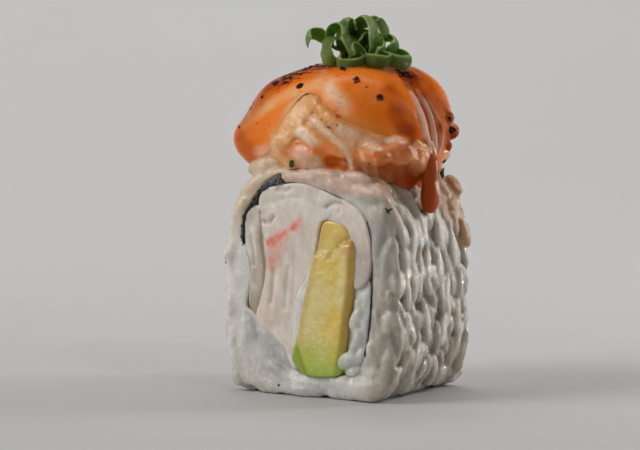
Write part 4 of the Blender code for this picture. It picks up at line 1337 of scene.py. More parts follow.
SEAFOOD_CHUNKS = [  # given as the lobes are, with a colour
    (0.0, 0.0, 42.3, 15.6, 12.0, 7.0, 0, 0, MIX_GLAZE),
    (-8.6, -9.4, 42.6, 3.4, 2.6, 2.8, 0, 0, MIX_GLAZE),
    (0.6, -12.0, 42.4, 3.9, 2.8, 2.6, 0, 0, MIX_GLAZE),
    (12.6, -11.2, 42.4, 3.5, 2.5, 2.0, -20, 8, MIX_BROWN),
    (15.8, -8.6, 42.6, 2.4, 2.8, 2.3, -40, 0, MIX_BROWN),
    (16.3, -3.8, 41.6, 2.3, 3.3, 3.2, 0, 0, MIX_BROWN),
    (15.2, 4.4, 42.4, 2.2, 4.2, 2.2, 0, 0, MIX_GLAZE),
    (12.4, 9.6, 41.6, 2.8, 3.0, 2.0, 30, 0, MIX_GLAZE),
    (6.0, 13.2, 42.4, 3.8, 2.4, 2.8, 0, 0, MIX_PINK),
    (-4.0, 13.0, 42.2, 4.0, 2.6, 2.6, 10, 0, MIX_PINK),
    (-12.6, 10.2, 41.6, 3.4, 3.2, 2.6, -30, 0, MIX_PINK),
]
SEARCH_DEPTHS = np.arange(26.0, -8.0, -0.1)  # where a sight line is tried, from the near end
FIBRE_UNITS = 5.65  # the frame's units in a millimetre of the shreds
FIBRE_RIGHT, FIBRE_DOWN = 0.82, 0.57  # the shreds' direction in the frame

# Places from here to the spring onion are in units of the camera's frame, across and down
BAY = [  # where the mixture under the sauce comes to the surface
    (270, 150), (274, 138), (280, 122), (287, 110), (296, 99), (306, 92), (314, 91), (320, 97),
    (324, 107), (333, 114), (344, 120), (356, 126), (372, 131), (388, 135), (404, 138), (410, 146),
    (404, 160), (398, 176), (392, 196), (366, 198), (340, 200), (300, 190), (276, 178), (262, 166),
]
LEAF = [  # a torched flap with a burnt upper edge
    (273, 145), (276, 134), (281, 121), (288, 110), (296, 100), (304, 94), (311, 91), (318, 95),
    (319, 104), (313, 113), (305, 123), (297, 134), (290, 146), (281, 149),
]
BURNT_EDGE = [(288, 109), (295, 101), (303, 94), (311, 91), (316, 93)]
TORN_EDGE = [(318, 119), (325, 121), (330, 127), (336, 125)]
STRANDS = [  # path, first and last radius in millimetres, how far it stands out, colour
    ([(303, 128), (315, 137), (330, 146), (344, 155), (353, 163), (356, 176)], 1.2, 0.8, 0.55, MIX_BEIGE),
    ([(326, 118), (340, 124), (356, 132), (372, 138), (384, 144)], 1.4, 1.2, 0.45, MIX_PINK),
    ([(318, 106), (330, 116), (344, 128), (360, 142)], 0.9, 0.8, 0.3, MIX_PEACH),
    ([(312, 118), (326, 130), (342, 141), (358, 152)], 0.8, 0.8, 0.35, MIX_WHITE),
    ([(366, 144), (374, 148), (381, 145)], 0.9, 0.8, 0.6, MIX_WHITE),
    ([(388, 143), (396, 141), (403, 142)], 0.7, 0.7, 0.5, MIX_WHITE),
    ([(278, 136), (278, 146), (285, 156), (292, 163)], 1.1, 1.0, 0.35, MIX_BEIGE),
    ([(300, 133), (308, 136), (313, 143)], 1.0, 0.8, 0.6, MIX_WHITE),
    ([(296, 146), (304, 149), (318, 152)], 0.6, 0.6, 0.3, MIX_ORANGE),
    ([(361, 152), (363, 166), (368, 182)], 0.8, 0.7, 0.3, MIX_GLAZE),
    ([(372, 160), (374, 174), (380, 188)], 0.7, 0.5, 0.3, MIX_BEIGE),
    ([(320, 172), (336, 174), (350, 177), (364, 182)], 0.9, 0.8, 0.1, MIX_PINK),
]
TONGUES = [  # runs of deep sauce at the front: path, first and last radius, stand, colour
    ([(386, 150), (384, 164), (384, 178), (385, 190)], 2.2, 0.7, 0.3, SAUCE_DEEP_AND_SHADE),
    ([(398, 146), (399, 162), (400, 178), (396, 187)], 2.4, 1.4, 0.5, SAUCE_DEEP_AND_SHADE),
    ([(411, 148), (412, 160), (411, 172), (408, 182)], 1.8, 1.2, 0.4, SAUCE_BROWN),
]
GLINTS = [  # thin wet ridges at the right: path, radius, stand, colour
    ([(417, 142), (419, 152), (421, 162)], 0.6, 0.55, (0.72, 0.46, 0.30)),
    ([(423, 146), (425, 156), (427, 166)], 0.55, 0.5, (0.70, 0.40, 0.24)),
    ([(430, 142), (433, 152), (434, 162)], 0.5, 0.5, (0.72, 0.48, 0.34)),
    ([(411, 180), (414, 187), (417, 194)], 0.5, 0.5, (0.70, 0.56, 0.42)),
    ([(403, 184), (405, 190), (409, 197)], 0.5, 0.4, (0.70, 0.54, 0.40)),
]
LUMPS = [  # place, radius in millimetres, how far it stands out, colour
    ((307, 160), 2.2, 0.65, (0.76, 0.45, 0.33)), ((300, 154), 1.2, 0.7, MIX_WHITE),
    ((316, 165), 1.2, 0.4, MIX_PINK), ((302, 131), 1.1, 0.6, MIX_WHITE),
    ((372, 146), 0.9, 0.75, MIX_WHITE), ((380, 149), 0.8, 0.65, MIX_PINK),
    ((393, 140), 0.8, 0.6, MIX_WHITE), ((402, 143), 0.7, 0.5, MIX_PINK),
    ((346, 134), 0.9, 0.4, MIX_PEACH), ((330, 122), 0.8, 0.35, MIX_BEIGE),
    ((330, 177), 1.3, 0.3, MIX_WHITE), ((352, 180), 1.3, 0.3, MIX_WHITE),
    ((292, 165), 0.9, 0.5, MIX_BEIGE), ((360, 148), 0.8, 0.45, MIX_WHITE),
]
POCKETS = [((335, 162), (1.8, 0.8)), ((345, 165), (0.9, 1.1))]  # place, half width and height
# Among the dabs are painted highlights and painted shade, each marked below.
DABS = [  # soft areas of colour over sauce and mixture: line, width, colour, strength
    # painted highlight: the soft reflection along the left lobe
    ([(242, 124), (258, 112), (280, 98), (302, 88), (318, 84)], 9, (0.97, 0.48, 0.20), 0.95),
    # painted highlight on the dome's left, with a paler core in the next dab
    ([(328, 86), (335, 96), (343, 107)], 16, SAUCE_PALE_AND_HIGHLIGHT, 1.0),
    ([(330, 88), (336, 96), (340, 102)], 8, (0.98, 0.66, 0.44), 0.8),
    ([(258, 152), (266, 150), (276, 152)], 9, MIX_PINK, 0.6),
    # painted shade over the dome's right side, in this dab and the next
    ([(396, 112), (404, 130), (408, 146)], 13, SAUCE_DEEP_AND_SHADE, 0.8),
    ([(390, 90), (404, 112), (412, 130)], 13, SAUCE_DEEP_AND_SHADE, 0.7),
    # the right lobe's browner sauce, darkened further as painted shade
    ([(413, 78), (430, 96), (443, 118), (448, 140)], 17, SAUCE_BROWN, 0.9),
    # painted highlight down the valley
    ([(418, 100), (426, 116), (432, 134), (434, 150)], 4, (0.74, 0.46, 0.34), 0.6),
    # painted shade on the left lobe's lower side
    ([(240, 140), (250, 160)], 12, SAUCE_DEEP_AND_SHADE, 0.3),
    # painted highlight: the tall stripe of light on the drip's right side
    ([(437, 183), (441, 194), (443, 206)], 3.2, (0.86, 0.58, 0.46), 0.85),
    ([(326, 108), (336, 115), (356, 125), (372, 130), (390, 135), (406, 140)], 6, (0.88, 0.28, 0.02), 0.8),
    ([(356, 158), (376, 160), (400, 158)], 18, (0.74, 0.15, 0.003), 0.9),
    ([(384, 172), (398, 178), (414, 176)], 14, SAUCE_DEEP_AND_SHADE, 0.85),
    ([(286, 152), (300, 147), (322, 150)], 8, MIX_ORANGE, 0.85),
    ([(328, 150), (334, 160), (338, 168)], 13, (0.98, 0.20, 0.001), 1.0),
    # painted shade in the crease beside the strand
    ([(346, 156), (348, 168)], 3.5, (0.30, 0.06, 0.004), 0.9),
    ([(298, 152), (308, 160), (316, 165)], 10, (0.88, 0.60, 0.46), 0.95),
    ([(280, 146), (286, 128), (294, 110), (306, 100)], 10, (0.93, 0.57, 0.24), 0.85),
    ([(274, 132), (276, 142)], 5, (0.86, 0.42, 0.10), 0.7),
    # a whitish lump, painted paler still as its highlight
    ([(300, 132), (308, 136), (313, 142)], 8, (0.96, 0.82, 0.66), 0.95),
    ([(313, 122), (330, 135), (345, 150), (350, 160), (352, 172)], 4.5, (0.94, 0.74, 0.54), 0.85),
    ([(320, 112), (326, 120)], 4, (0.90, 0.42, 0.08), 0.7),
    ([(340, 128), (356, 138), (374, 146)], 9, (0.92, 0.68, 0.52), 0.8),
    ([(370, 146), (380, 149)], 4, MIX_WHITE, 0.9),
    ([(388, 141), (396, 139), (403, 142)], 4.5, (0.92, 0.68, 0.56), 0.9),
    ([(361, 152), (364, 166), (368, 180)], 4, (0.95, 0.60, 0.32), 0.9),
    ([(374, 160), (377, 174), (381, 188)], 3, (0.86, 0.52, 0.24), 0.7),
]
# the runs' pale colour: creamy sauce, partly a painted sheen
FLOW_PALE = (0.88, 0.60, 0.46)
FLOWS = [  # glossy runs of sauce down the valley: path, first and last radius, stand
    ([(411, 92), (418, 106), (423, 120), (425, 136)], 0.3, 0.45, 0.4),
    ([(417, 90), (425, 104), (431, 119), (434, 136), (434, 150)], 0.3, 0.5, 0.5),
    ([(424, 96), (432, 110), (439, 123), (441, 138), (438, 152)], 0.3, 0.45, 0.4),
    ([(420, 112), (424, 124), (428, 140), (430, 152)], 0.25, 0.4, 0.4),
]
VALLEY = [(404, 70), (412, 82), (420, 97), (426, 113), (431, 130), (433, 146)]
KNOBS = [((451, 131), 1.5, -0.3), ((446, 146), 1.1, 0.0), ((447, 118), 1.3, -0.6)]  # with lift
BURNT_DEPTH = 2.5  # how many times deeper a burnt spot may be than it looks wide
CHARS = [  # place and radius in millimetres of burnt spots
    ((343, 69), 0.55), ((357, 80), 0.62), ((380, 97), 0.6), ((300, 86), 0.62), ((251, 108), 0.3),
    ((239, 127), 0.3), ((338, 76), 0.2), ((367, 87), 0.2), ((257, 123), 0.16), ((374, 84), 0.14),
    ((452, 130), 0.7), ((450, 118), 0.45), ((403, 74), 0.35), ((262, 97), 0.35), ((387, 104), 0.12),
    ((369, 164), 0.2),
]
CHAR_RIDGE = [(277, 82), (288, 77), (300, 70), (313, 65), (327, 62)]


def on_surface(field, spot, lift=0.0, facing=1):
    """The place on a field that the frame's spot shows; facing -1 is the same from behind."""
    places = turned(sight_line(*spot, SEARCH_DEPTHS), facing)
    hits = np.flatnonzero(field.sample(places) < 0)
    if not len(hits):
        return None
    return turned(sight_line(*spot, SEARCH_DEPTHS[hits[0]] + lift), facing)


def along_surface(field, spots, lift, facing=1):
    """A smooth line on a field through the frame's spots."""
    found = [on_surface(field, spot, lift, facing) for spot in smooth_path(spots, 4)]
    return [place for place in found if place is not None]


def shown_mask(places, outline, soft, facing, inset=0.0):
    """1 inside an outline in the frame, on the side that faces the camera (or away from it)."""
    across, down, near = in_frame(turned(places, facing))
    inside = -outline_distance(across, down, outline) / (FRAME_SCALE / VIEW_DISTANCE)
    inside = inside - inset + 0.4 * rough_noise(places, 2.4, 98, 2)
    return ramp(inside, -soft / 2, soft / 2) * ramp(near, 2.0, 6.0)


def frame_stroke(places, line, width, facing):
    """1 on a line in the frame, falling to 0 width units away, on the side that faces."""
    across, down, near = in_frame(turned(places, facing))
    return (1 - ramp(near_line(across, down, line)[0], width * 0.2, width)) * ramp(near, -3.0, 1.0)


def above_rice(field, grid):
    """Cuts away what reaches into the rice."""
    field.take_everywhere(section_distance(grid, roll_outline(OUTLINE_STEPS, -0.6)), 0.3)


def rope(field, whole, row, facing, melt):
    """A strand that lies on the surface and stands a little out of it."""
    spots, first, last, stand, colour = row
    path = along_surface(whole, spots, 0.0, facing)
    if len(path) > 2:
        radii = np.linspace(first, last, len(path))
        inward = turned(-VIEW_BACK, facing)
        path = [place + inward * (radius - stand) for place, radius in zip(path, radii)]
        field.tube(path, radii, melt, colour)


def fibres(field, facing, height):
    """Fine shreds that run down to the right, as the camera sees them."""
    near, places = field.near_surface(2.0)
    across, down, depth = in_frame(turned(places, facing))
    along = (across * FIBRE_RIGHT + down * FIBRE_DOWN) / FIBRE_UNITS
    side = (-across * FIBRE_DOWN + down * FIBRE_RIGHT) / FIBRE_UNITS
    ridge = rough_noise(np.column_stack([along * 0.28, side, depth * 0.4]), 0.9, 95, 3)
    field.values[near] += (height * ridge * ramp(depth, 0.0, 4.0)).astype(np.float32)


def add_lobes(field, rows, melt, tone):
    for x, y, z, a, b, c, turn, lean in rows:
        field.blob((x, y, z), (a, b, c), (0, lean, turn), melt, tone)


def lump(field, whole, spot, lift, half, melt, facing=1, tone=0.0, cut=False):
    """A blob, or a dent, where the frame's spot meets the whole topping's surface."""
    place = on_surface(whole, spot, lift, facing)
    if place is not None:
        field.blob(place, half, melt=melt, tone=tone, cut=cut)


def add_details(sauce, mixture, whole, facing):
    """The strands, runs, lumps and pockets of one side, placed on the whole topping's surface."""
    for row in STRANDS:
        rope(mixture, whole, row, facing, 0.7)
    for spots, radius, stand, colour in GLINTS:
        rope(mixture, whole, (spots, radius, radius, stand, colour), facing, 0.35)
    for row in TONGUES:
        rope(sauce, whole, row, facing, 0.8)
    for spot, radius, stand, colour in LUMPS:
        half = (radius, radius * 0.9, radius * 0.85)
        lump(mixture, whole, spot, stand - radius, half, 0.6, facing, colour)
    for spot, (wide, high) in POCKETS:
        lump(mixture, whole, spot, -0.1, (wide, wide, high), 0.8, facing, cut=True)
    fibres(mixture, facing, 0.16)


def build_topping():
    """The sauce's lobes, and the mixture that shows through the bay in them."""
    sauce = Field(TOPPING_LOW, TOPPING_HIGH, TOPPING_STEP, SAUCE_ORANGE)
    add_lobes(sauce, SAUCE_LOBES, 1.8, SAUCE_ORANGE)
    sauce.ruffle(6.0, 0.2, 91)
    whole = Field(TOPPING_LOW, TOPPING_HIGH, TOPPING_STEP)
    whole.values = sauce.values.copy()
    add_lobes(sauce, SAUCE_DRIPS, 1.0, SAUCE_BROWN)
    valley = along_surface(whole, VALLEY, 0.2)
    sauce.tube(valley, np.linspace(0.7, 1.2, len(valley)), 1.6, cut=True)
    for row in FLOWS:
        rope(sauce, whole, (*row, FLOW_PALE), 1, 0.45)
    for spot, radius, lift in KNOBS:
        lump(sauce, whole, spot, lift, (radius,) * 3, 0.6, tone=SAUCE_BROWN)

    mixture = Field(TOPPING_LOW, TOPPING_HIGH, TOPPING_STEP, MIX_GLAZE)
    for *row, colour in SEAFOOD_CHUNKS:
        add_lobes(mixture, [row], 0.9, colour)
    for facing in (1, -1):
        near, places = sauce.near_surface(5.0)
        bay = shown_mask(places, BAY, 3.6, facing, 1.5)
        sauce.values[near] += (2.6 * bay).astype(np.float32)
        near, places = whole.near_surface(5.0)
        bay = shown_mask(places, BAY, 1.6, facing, -0.6)
        leaf = shown_mask(places, LEAF, 0.9, facing)
        bed = whole.values[near] + 0.15 + 6.0 * (1 - bay) - 0.6 * leaf
        mixture.values[near] = np.minimum(mixture.values[near], bed)
        mixture.tones[near] += (np.array(MIX_BEIGE) - mixture.tones[near]) * leaf[:, None]
        add_details(sauce, mixture, whole, facing)
    mixture.ruffle(1.5, 0.1, 96, 3)
    grid = sauce.everywhere()
    above_rice(sauce, grid)
    above_rice(mixture, grid)
    dress_sauce(sauce)
    dress_mixture(mixture)
    return sauce, mixture


def burnt_spots(field, places):
    """1 in the burnt spots, front and back."""
    char = np.zeros(len(places))
    for facing in (1, -1):
        for spot, radius in CHARS:
            centre = on_surface(field, spot, 0.0, facing)
            if centre is None:
                continue
            offset = places - centre
            depth = offset @ turned(VIEW_BACK, facing)
            square = (offset ** 2).sum(axis=1) - (1 - 1 / BURNT_DEPTH**2) * depth ** 2
            away = np.sqrt(np.maximum(square, 0))
            char = np.maximum(char, 1 - ramp(away, radius * 0.5, radius * 1.7))
    return char


def dabbed(colour, places):
    """The colour with the soft areas of both topping pieces laid over it, front and back."""
    for facing in (1, -1):
        for line, width, tone, strength in DABS:
            share = frame_stroke(places, line, width, facing)
            share = share * (0.8 + 0.35 * value_noise(places, 1.8, 94))
            colour = mix(colour, tone, np.clip(strength * share, 0, 1))
    return colour


def dress_sauce(field):
    obj, places, tone = field.mesh("sauce_look")
    # a little paler at random, and painted shade towards the sauce's foot
    colour = layered(tone, (SAUCE_PALE_AND_HIGHLIGHT, 0.05 + 0.08 * value_noise(places, 5, 92)),
                     (SAUCE_DEEP_AND_SHADE, 0.3 * ramp(46.0 - places[:, 2], 0, 8.0)))
    for facing in (1, -1):
        colour = mix(colour, MIX_PEACH, 0.75 * shown_mask(places, BAY, 5.0, facing))
    char = burnt_spots(field, places)
    for facing in (1, -1):
        char = np.maximum(char, 0.76 * frame_stroke(places, CHAR_RIDGE, 12, facing))
    paint(obj, "tint", dabbed(colour, places))
    paint(obj, "char", char)
    dress(obj, sauce_material(), "sauce", "sauce")


def dress_mixture(field):
    obj, places, tone = field.mesh("seafood_look")
    colour = mix(tone, MIX_GLAZE, 0.4 * ramp(value_noise(places, 1.7, 97), 0.1, 0.8))
    char = burnt_spots(field, places)
    for facing in (1, -1):
        low = ramp(in_frame(turned(places, facing))[1], 148, 162)
        edge = 1 - shown_mask(places, BAY, 5.0, facing)
        colour = mix(colour, MIX_GLAZE, 0.6 * edge * (1 - low))
        char = np.maximum(char, frame_stroke(places, BURNT_EDGE, 4.0, facing))
        torn = frame_stroke(places, TORN_EDGE, 4.0, facing) * (0.5 + value_noise(places, 0.7, 99))
        char = np.maximum(char, 0.5 * torn)
    paint(obj, "tint", dabbed(colour, places))
    paint(obj, "char", char)
    dress(obj, seafood_material(), "seafood", "seafood")


# Spring onion

ONION_CURLS = [  # frame place, near, half-lengths, turn, tilt and its direction, angles, width
    ((362, 38), 4.0, (3.1, 3.6), 5, 50, 165, -50, 250, 2.7),
    ((351, 37), 3.0, (2.5, 3.2), -10, 58, 20, 20, 300, 2.5),
    ((338, 37), 4.5, (1.9, 2.2), 0, 45, 150, -30, 280, 2.2),
    ((320, 41), 5.0, (2.4, 2.6), 0, 58, 70, -10, 190, 2.7),
    ((331, 52), 5.5, (1.5, 2.3), 0, 50, 0, 60, 300, 2.5),
    ((345, 50), 6.0, (2.0, 2.3), 0, 50, 180, -90, 150, 2.3),
    ((356, 53), 7.0, (1.5, 1.7), 10, 40, 30, -60, 200, 1.8),
    ((370, 45), 6.0, (2.0, 3.1), -35, 60, 60, -60, 170, 2.6),
    ((392, 58), 5.0, (3.1, 1.9), -28, 58, 75, -180, 165, 2.9),
    ((386, 46), 3.5, (2.4, 1.9), -45, 50, 120, -60, 200, 2.5),
    ((378, 33), 2.5, (1.9, 2.2), 0, 50, 200, -40, 250, 2.2),
    ((366, 24), 3.0, (2.4, 1.5), 10, 55, 100, -20, 220, 2.2),
    ((376, 60), 6.5, (2.4, 1.6), -15, 55, 80, 150, 390, 2.5),
    ((350, 60), 7.0, (2.2, 1.4), 0, 60, 90, 170, 385, 2.3),
    ((334, 58), 5.0, (1.6, 1.6), 0, 55, 60, 120, 360, 2.2),
]
ONION_HIDDEN_CURLS = 14
ONION_STEPS, ONION_ACROSS = 40, 9
ONION_THICKNESS = 0.34
ONION_OUTSIDE = (0.10, 0.225, 0.005)
ONION_INSIDE = (0.24, 0.41, 0.03)
ONION_PALE = (0.52, 0.64, 0.18)


def ring_axes(turn, tilt, lean):
    """The directions of a curl's two half-lengths, and the way its ribbon's width runs."""
    turn, tilt, lean = (math.radians(a) for a in (turn, tilt, lean))
    sideways = VIEW_RIGHT * math.cos(lean) + VIEW_UP * math.sin(lean)
    axis = VIEW_BACK * math.cos(tilt) + sideways * math.sin(tilt)
    up = VIEW_UP - axis * (VIEW_UP @ axis)
    up /= np.linalg.norm(up)
    right = np.cross(up, axis)
    return (right * math.cos(turn) + up * math.sin(turn),
            up * math.cos(turn) - right * math.sin(turn), axis)


def onion_strip(curl, number):
    """One curl: a ribbon bent along part of an oval, a little cupped, with ragged ends."""
    spot, near, (wide, high), turn, tilt, lean, first, last, width = curl
    centre = sight_line(*spot, near)
    one, two, axis = ring_axes(turn, tilt, lean)
    t = np.linspace(0, 1, ONION_STEPS)
    angle = np.radians(first + (last - first) * t)[:, None]
    spots = np.column_stack([t * 7 + number * 13, np.zeros(ONION_STEPS), np.zeros(ONION_STEPS)])
    wander = 1 + 0.14 * value_noise(spots, 1.4, 101)[:, None]
    drift = 0.8 * value_noise(spots, 3.0, 102)[:, None]
    out = one * np.cos(angle) + two * np.sin(angle)
    path = centre + (one * np.cos(angle) * wide + two * np.sin(angle) * high) * wander + axis * drift
    half = width / 2 * (0.72 + 0.28 * np.sin(np.pi * np.clip(t, 0.04, 0.96)) ** 0.6)
    half = half * (1 + 0.18 * value_noise(spots, 0.9, 103))
    places, tints, coords = [], [], []
    zeros = np.zeros(ONION_STEPS)
    from_middle = np.abs(t - 0.5)
    for side in (-1, 1):
        colour = np.tile(ONION_OUTSIDE if side < 0 else ONION_INSIDE, (ONION_STEPS, 1))
        for k in range(ONION_ACROSS):
            s = 2 * k / (ONION_ACROSS - 1) - 1
            edge = math.sqrt(max(0.0, 1 - abs(s) ** 6)) * 0.8 + 0.2
            shift = 0.3 * (s * s - 0.3) * half + side * ONION_THICKNESS / 2 * edge
            ragged = 0.35 * value_noise(spots + (0, s * 3, 9), 0.7, 104) * ramp(from_middle, 0.4, 0.5)
            places.append(path + axis * (s * half + ragged)[:, None] - out * shift[:, None])
            share = np.maximum(abs(s) ** 9 * 0.85, 0.85 * ramp(from_middle, 0.46, 0.5))
            light = 0.4 * ramp(value_noise(spots + (0, 0, 5), 2.2, 105), 0.0, 0.8)
            tints.append(mix(colour, ONION_PALE, np.maximum(share, light)))
            coords.append(np.column_stack([zeros + s * 4.5, t, zeros]))
    return places, tints, coords


def strip_faces(base):
    """The faces of one ribbon whose first vertex has this number."""
    faces = []

    def spot(side, k, i):
        return base + (side * ONION_ACROSS + k) * ONION_STEPS + i

    for i in range(ONION_STEPS - 1):
        for k in range(ONION_ACROSS - 1):
            faces.append([spot(0, k, i), spot(0, k + 1, i), spot(0, k + 1, i + 1), spot(0, k, i + 1)])
            faces.append([spot(1, k, i), spot(1, k, i + 1), spot(1, k + 1, i + 1), spot(1, k + 1, i)])
        for k in (0, ONION_ACROSS - 1):
            faces.append([spot(0, k, i), spot(0, k, i + 1), spot(1, k, i + 1), spot(1, k, i)])
    for k in range(ONION_ACROSS - 1):
        for i in (0, ONION_STEPS - 1):
            faces.append([spot(0, k, i), spot(1, k, i), spot(1, k + 1, i), spot(0, k + 1, i)])
    return faces


def hidden_curls():
    """Curls in the middle and at the back of the tangle."""
    draw = np.random.default_rng(100)
    for _ in range(ONION_HIDDEN_CURLS):
        spot = (draw.uniform(340, 380), draw.uniform(36, 60))
        sizes = (draw.uniform(1.6, 2.5), draw.uniform(1.5, 2.4))
        first = draw.uniform(-180, 180)
        yield (spot, draw.uniform(-1.5, 3.5), sizes, draw.uniform(-60, 60), draw.uniform(35, 70),
               draw.uniform(0, 360), first, first + draw.uniform(200, 300), draw.uniform(1.9, 2.6))


def build_onion():
    all_places, all_tints, all_coords, faces = [], [], [], []
    for number, curl in enumerate(ONION_CURLS + list(hidden_curls())):
        places, tints, coords = onion_strip(curl, number)
        faces += strip_faces(number * 2 * ONION_ACROSS * ONION_STEPS)
        all_places += places
        all_tints += tints
        all_coords += coords
    obj = mesh_object("spring_onion_look", np.vstack(all_places), faces)
    fix_normals(obj)
    paint(obj, "tint", np.vstack(all_tints))
    layer = obj.data.attributes.new("across", "FLOAT_VECTOR", "POINT")
    layer.data.foreach_set("vector", np.vstack(all_coords).ravel())
    dress(obj, onion_material(), "spring_onion", "spring_onion")


# Small loose bits

FRAME_MIDDLE = (360, 230)
HERB_BITS = [  # place, half width and length, turn
    ((291.5, 163), (0.45, 0.85), 8), ((446, 168), (0.5, 1.2), -12), ((444, 161), (0.3, 0.5), 30),
]
ROE_DOTS = [((337, 117), 0.42), ((369, 164), 0.22)]
CHAR_FLAKES = [
    ((342, 68), 0.45), ((345, 71), 0.25), ((357, 79), 0.5), ((359, 82), 0.35), ((380, 96), 0.42),
    ((381, 100), 0.3), ((301, 85), 0.45), ((298, 88), 0.35), ((305, 69), 0.35), ((311, 67), 0.4),
    ((317, 65), 0.3), ((297, 74), 0.35), ((290, 78), 0.4), ((284, 80), 0.35), ((323, 63), 0.25),
    ((450, 120), 0.3), ((452, 131), 0.5),
]
NORI_FLECK = [
    [(385.6, 208.6), (388, 211), (389.4, 214.4)], [(392, 208.8), (388.6, 210.8), (385.8, 212.6)],
]
NORI_CRUMBS = [((219, 264), 0.2), ((345, 396), 0.15), ((279, 385), 0.2)]


class Bits:
    """Small closed forms gathered into one mesh."""

    def __init__(self):
        self.places, self.faces, self.count = [], [], 0

    def form(self, low, high, step, shape):
        field = Field(np.array(low), np.array(high), step)
        shape(field)
        places, faces, _ = field.surface()
        self.places.append(places)
        self.faces.append(faces + self.count)
        self.count += len(places)

    def chip(self, place, half, turn, seed):
        """An uneven chip that faces the camera."""
        angle = math.radians(turn)
        long_way = VIEW_UP * math.cos(angle) + VIEW_RIGHT * math.sin(angle)
        side = np.cross(long_way, VIEW_BACK)
        matrix = np.column_stack([side, VIEW_BACK, long_way])

        def shape(field):
            field.blob_by_axes(place, (half[0], min(half) * 0.55, half[1]), matrix, 0.05)
            field.ruffle(min(half) * 1.1, min(half) * 0.3, seed)

        reach = max(half) * 1.5 + 0.2
        self.form(place - reach, place + reach, min(half) / 3.2, shape)

    def finish(self, name, slot, skin, *look):
        """Makes the piece, with a plain food material of this name and look."""
        obj = mesh_object(name, np.vstack(self.places), np.vstack(self.faces))
        dress(obj, plain_food_material(skin, *look), slot)


def build_bits(rice, sauce, mixture):
    herbs = Bits()
    for number, (spot, half, turn) in enumerate(HERB_BITS):
        herbs.chip(nearest_of((rice, sauce, mixture), spot), half, turn, 110 + number)
    herbs.finish("herb_bits_look", "spring_onion", "herb_look", (0.05, 0.12, 0.012), 0.4, 3.0, 0.06)
    roe = Bits()
    for number, (spot, radius) in enumerate(ROE_DOTS):
        roe.chip(nearest_of((sauce, mixture), spot), (radius, radius), 0, 120 + number)
    roe.finish("roe_bits_look", "seafood", "roe_look", (0.75, 0.06, 0.01), 0.2, 2.0, 0.03)
    char = Bits()
    for number, (spot, radius) in enumerate(CHAR_FLAKES):
        half = (radius, radius * 0.75)
        char.chip(nearest_of((sauce, mixture), spot), half, number * 37, 130 + number)
    char.finish("char_bits_look", "sauce", "char_look", (0.022, 0.010, 0.008), 0.75, 5.0, 0.08)
    nori = Bits()
    for line in NORI_FLECK:
        path = np.array([nearest_of((rice,), spot) for spot in line])
        nori.form(path.min(axis=0) - 0.5, path.max(axis=0) + 0.5, 0.07,
                  lambda field, path=path: field.tube(path, (0.13, 0.2, 0.1), 0.05))
    for number, (spot, radius) in enumerate(NORI_CRUMBS):
        nori.chip(nearest_of((rice,), spot), (radius, radius), 0, 160 + number)
    nori.finish("nori_bits_look", "nori", "nori_bit_look", (0.012, 0.013, 0.012), 0.6, 5.0, 0.05)


def nearest_of(fields, spot):
    """Where the sight line first meets one of the fields, drawn in from the outline if it misses them."""
    for share in np.linspace(0, 0.25, 11):
        aim = np.array(spot) * (1 - share) + np.array(FRAME_MIDDLE) * share
        found = [place for place in (on_surface(field, aim) for field in fields) if place is not None]
        if found:
            return max(found, key=lambda place: place @ VIEW_BACK)
    return np.zeros(3)


# Stage, light and camera

FLOOR_SIDES = 96
FLOOR_PROFILE = [  # radius and height in metres
    (0.001, 0), (0.2, 0), (0.36, 0.002), (0.48, 0.012), (0.59, 0.042), (0.69, 0.1), (0.77, 0.19),
    (0.82, 0.3), (0.84, 0.42),
]


def build_stage():
    """A pale floor that curves up gently into a pale wall all round."""
    made = bmesh.new()
    rings = [[made.verts.new((r * math.cos(a), r * math.sin(a), z))
              for a in np.linspace(0, 2 * math.pi, FLOOR_SIDES, endpoint=False)]
             for r, z in FLOOR_PROFILE]
    for one, two in zip(rings, rings[1:]):
        for i in range(FLOOR_SIDES):
            j = (i + 1) % FLOOR_SIDES
            made.faces.new((one[i], one[j], two[j], two[i]))
    made.faces.new(rings[0])
    bmesh.ops.recalc_face_normals(made, faces=made.faces)
    mesh = bpy.data.meshes.new("floor")
    made.to_mesh(mesh)
    made.free()
    mesh.shade_smooth()
    obj = linked("floor", mesh)
    skin, tree, shader = new_material("floor_look", 0.6, 0.25)
    cloud = noise(tree, place_input(tree), 0.01, 2)
    tree.links.new(blend_colour(tree, cloud, (0.60, 0.595, 0.59), (0.63, 0.625, 0.62)),
                   shader.inputs["Base Color"])
    mesh.materials.append(skin)


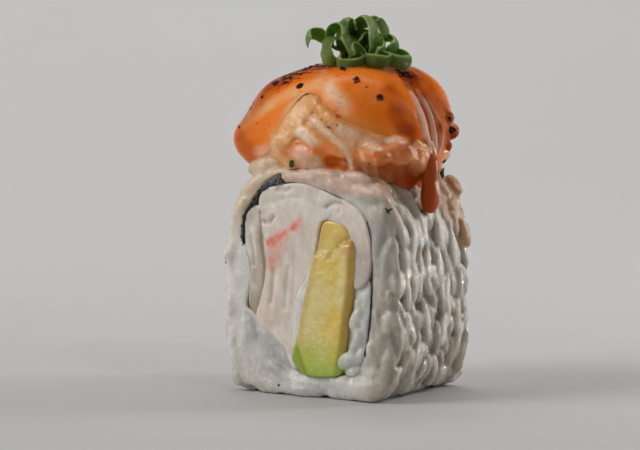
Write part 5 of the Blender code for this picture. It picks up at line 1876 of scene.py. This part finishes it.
def area_light(name, place, aim, size, power, colour=(1, 1, 1)):
    light = bpy.data.lights.new(name, "AREA")
    light.shape = "RECTANGLE"
    light.size = light.size_y = size * MM
    light.energy = power
    light.color = colour
    obj = linked(name, light)
    obj.location = Vector(place) * MM
    obj.rotation_euler = (Vector(aim) - Vector(place)).to_track_quat("-Z", "Y").to_euler()
    obj.visible_camera = False


def from_camera(right, near, up):
    """A place right of the roll, towards the camera and up, as the camera sees it."""
    level = np.array((math.sin(VIEW_AZIMUTH), -math.cos(VIEW_AZIMUTH), 0))
    return tuple(VIEW_RIGHT * right + level * near + np.array((0, 0, up)))


def build_light():
    aim = (0, 0, 35)
    area_light("key", from_camera(-740, 190, 560), aim, 420, 3.8, (1.0, 0.98, 0.95))
    area_light("overhead", (0, 0, 1000), (0, 0, 0), 1400, 1.3, (0.97, 0.985, 1.0))
    area_light("right_rim", from_camera(330, -60, 230), aim, 90, 0.3, (1.0, 0.97, 0.94))
    area_light("side_glint", from_camera(480, -230, 60), aim, 50, 0.55, (1.0, 0.97, 0.94))
    area_light("glint_right", from_camera(210, 260, 330), aim, 26, 0.16)
    area_light("glint_left", from_camera(-440, 230, 120), aim, 40, 0.16)
    area_light("backdrop", from_camera(0, -330, 620), from_camera(0, -820, 40), 500, 2.2)
    world = bpy.data.worlds.new("world")
    bpy.context.scene.world = world
    world.use_nodes = True
    world.node_tree.nodes["Background"].inputs["Color"].default_value = (0.92, 0.95, 1.0, 1)
    world.node_tree.nodes["Background"].inputs["Strength"].default_value = 0.05
    bpy.context.scene.view_settings.view_transform = "Standard"


def build_camera():
    data = bpy.data.cameras.new("camera")
    data.lens = VIEW_LENS
    data.sensor_width = SENSOR
    data.clip_start = 0.01
    obj = linked("camera", data)
    turn = Matrix(np.column_stack([VIEW_RIGHT, VIEW_UP, VIEW_BACK]).tolist()).to_4x4()
    obj.matrix_world = Matrix.Translation(Vector(VIEW_PLACE) * MM) @ turn
    bpy.context.scene.camera = obj


build_camera()
build_light()
build_stage()
build_fillings()
build_nori()
rice_field = build_rice()
build_inner_rice()
sauce_field, mixture_field = build_topping()
build_onion()
build_bits(rice_field, sauce_field, mixture_field)

bpy.context.view_layer.update()
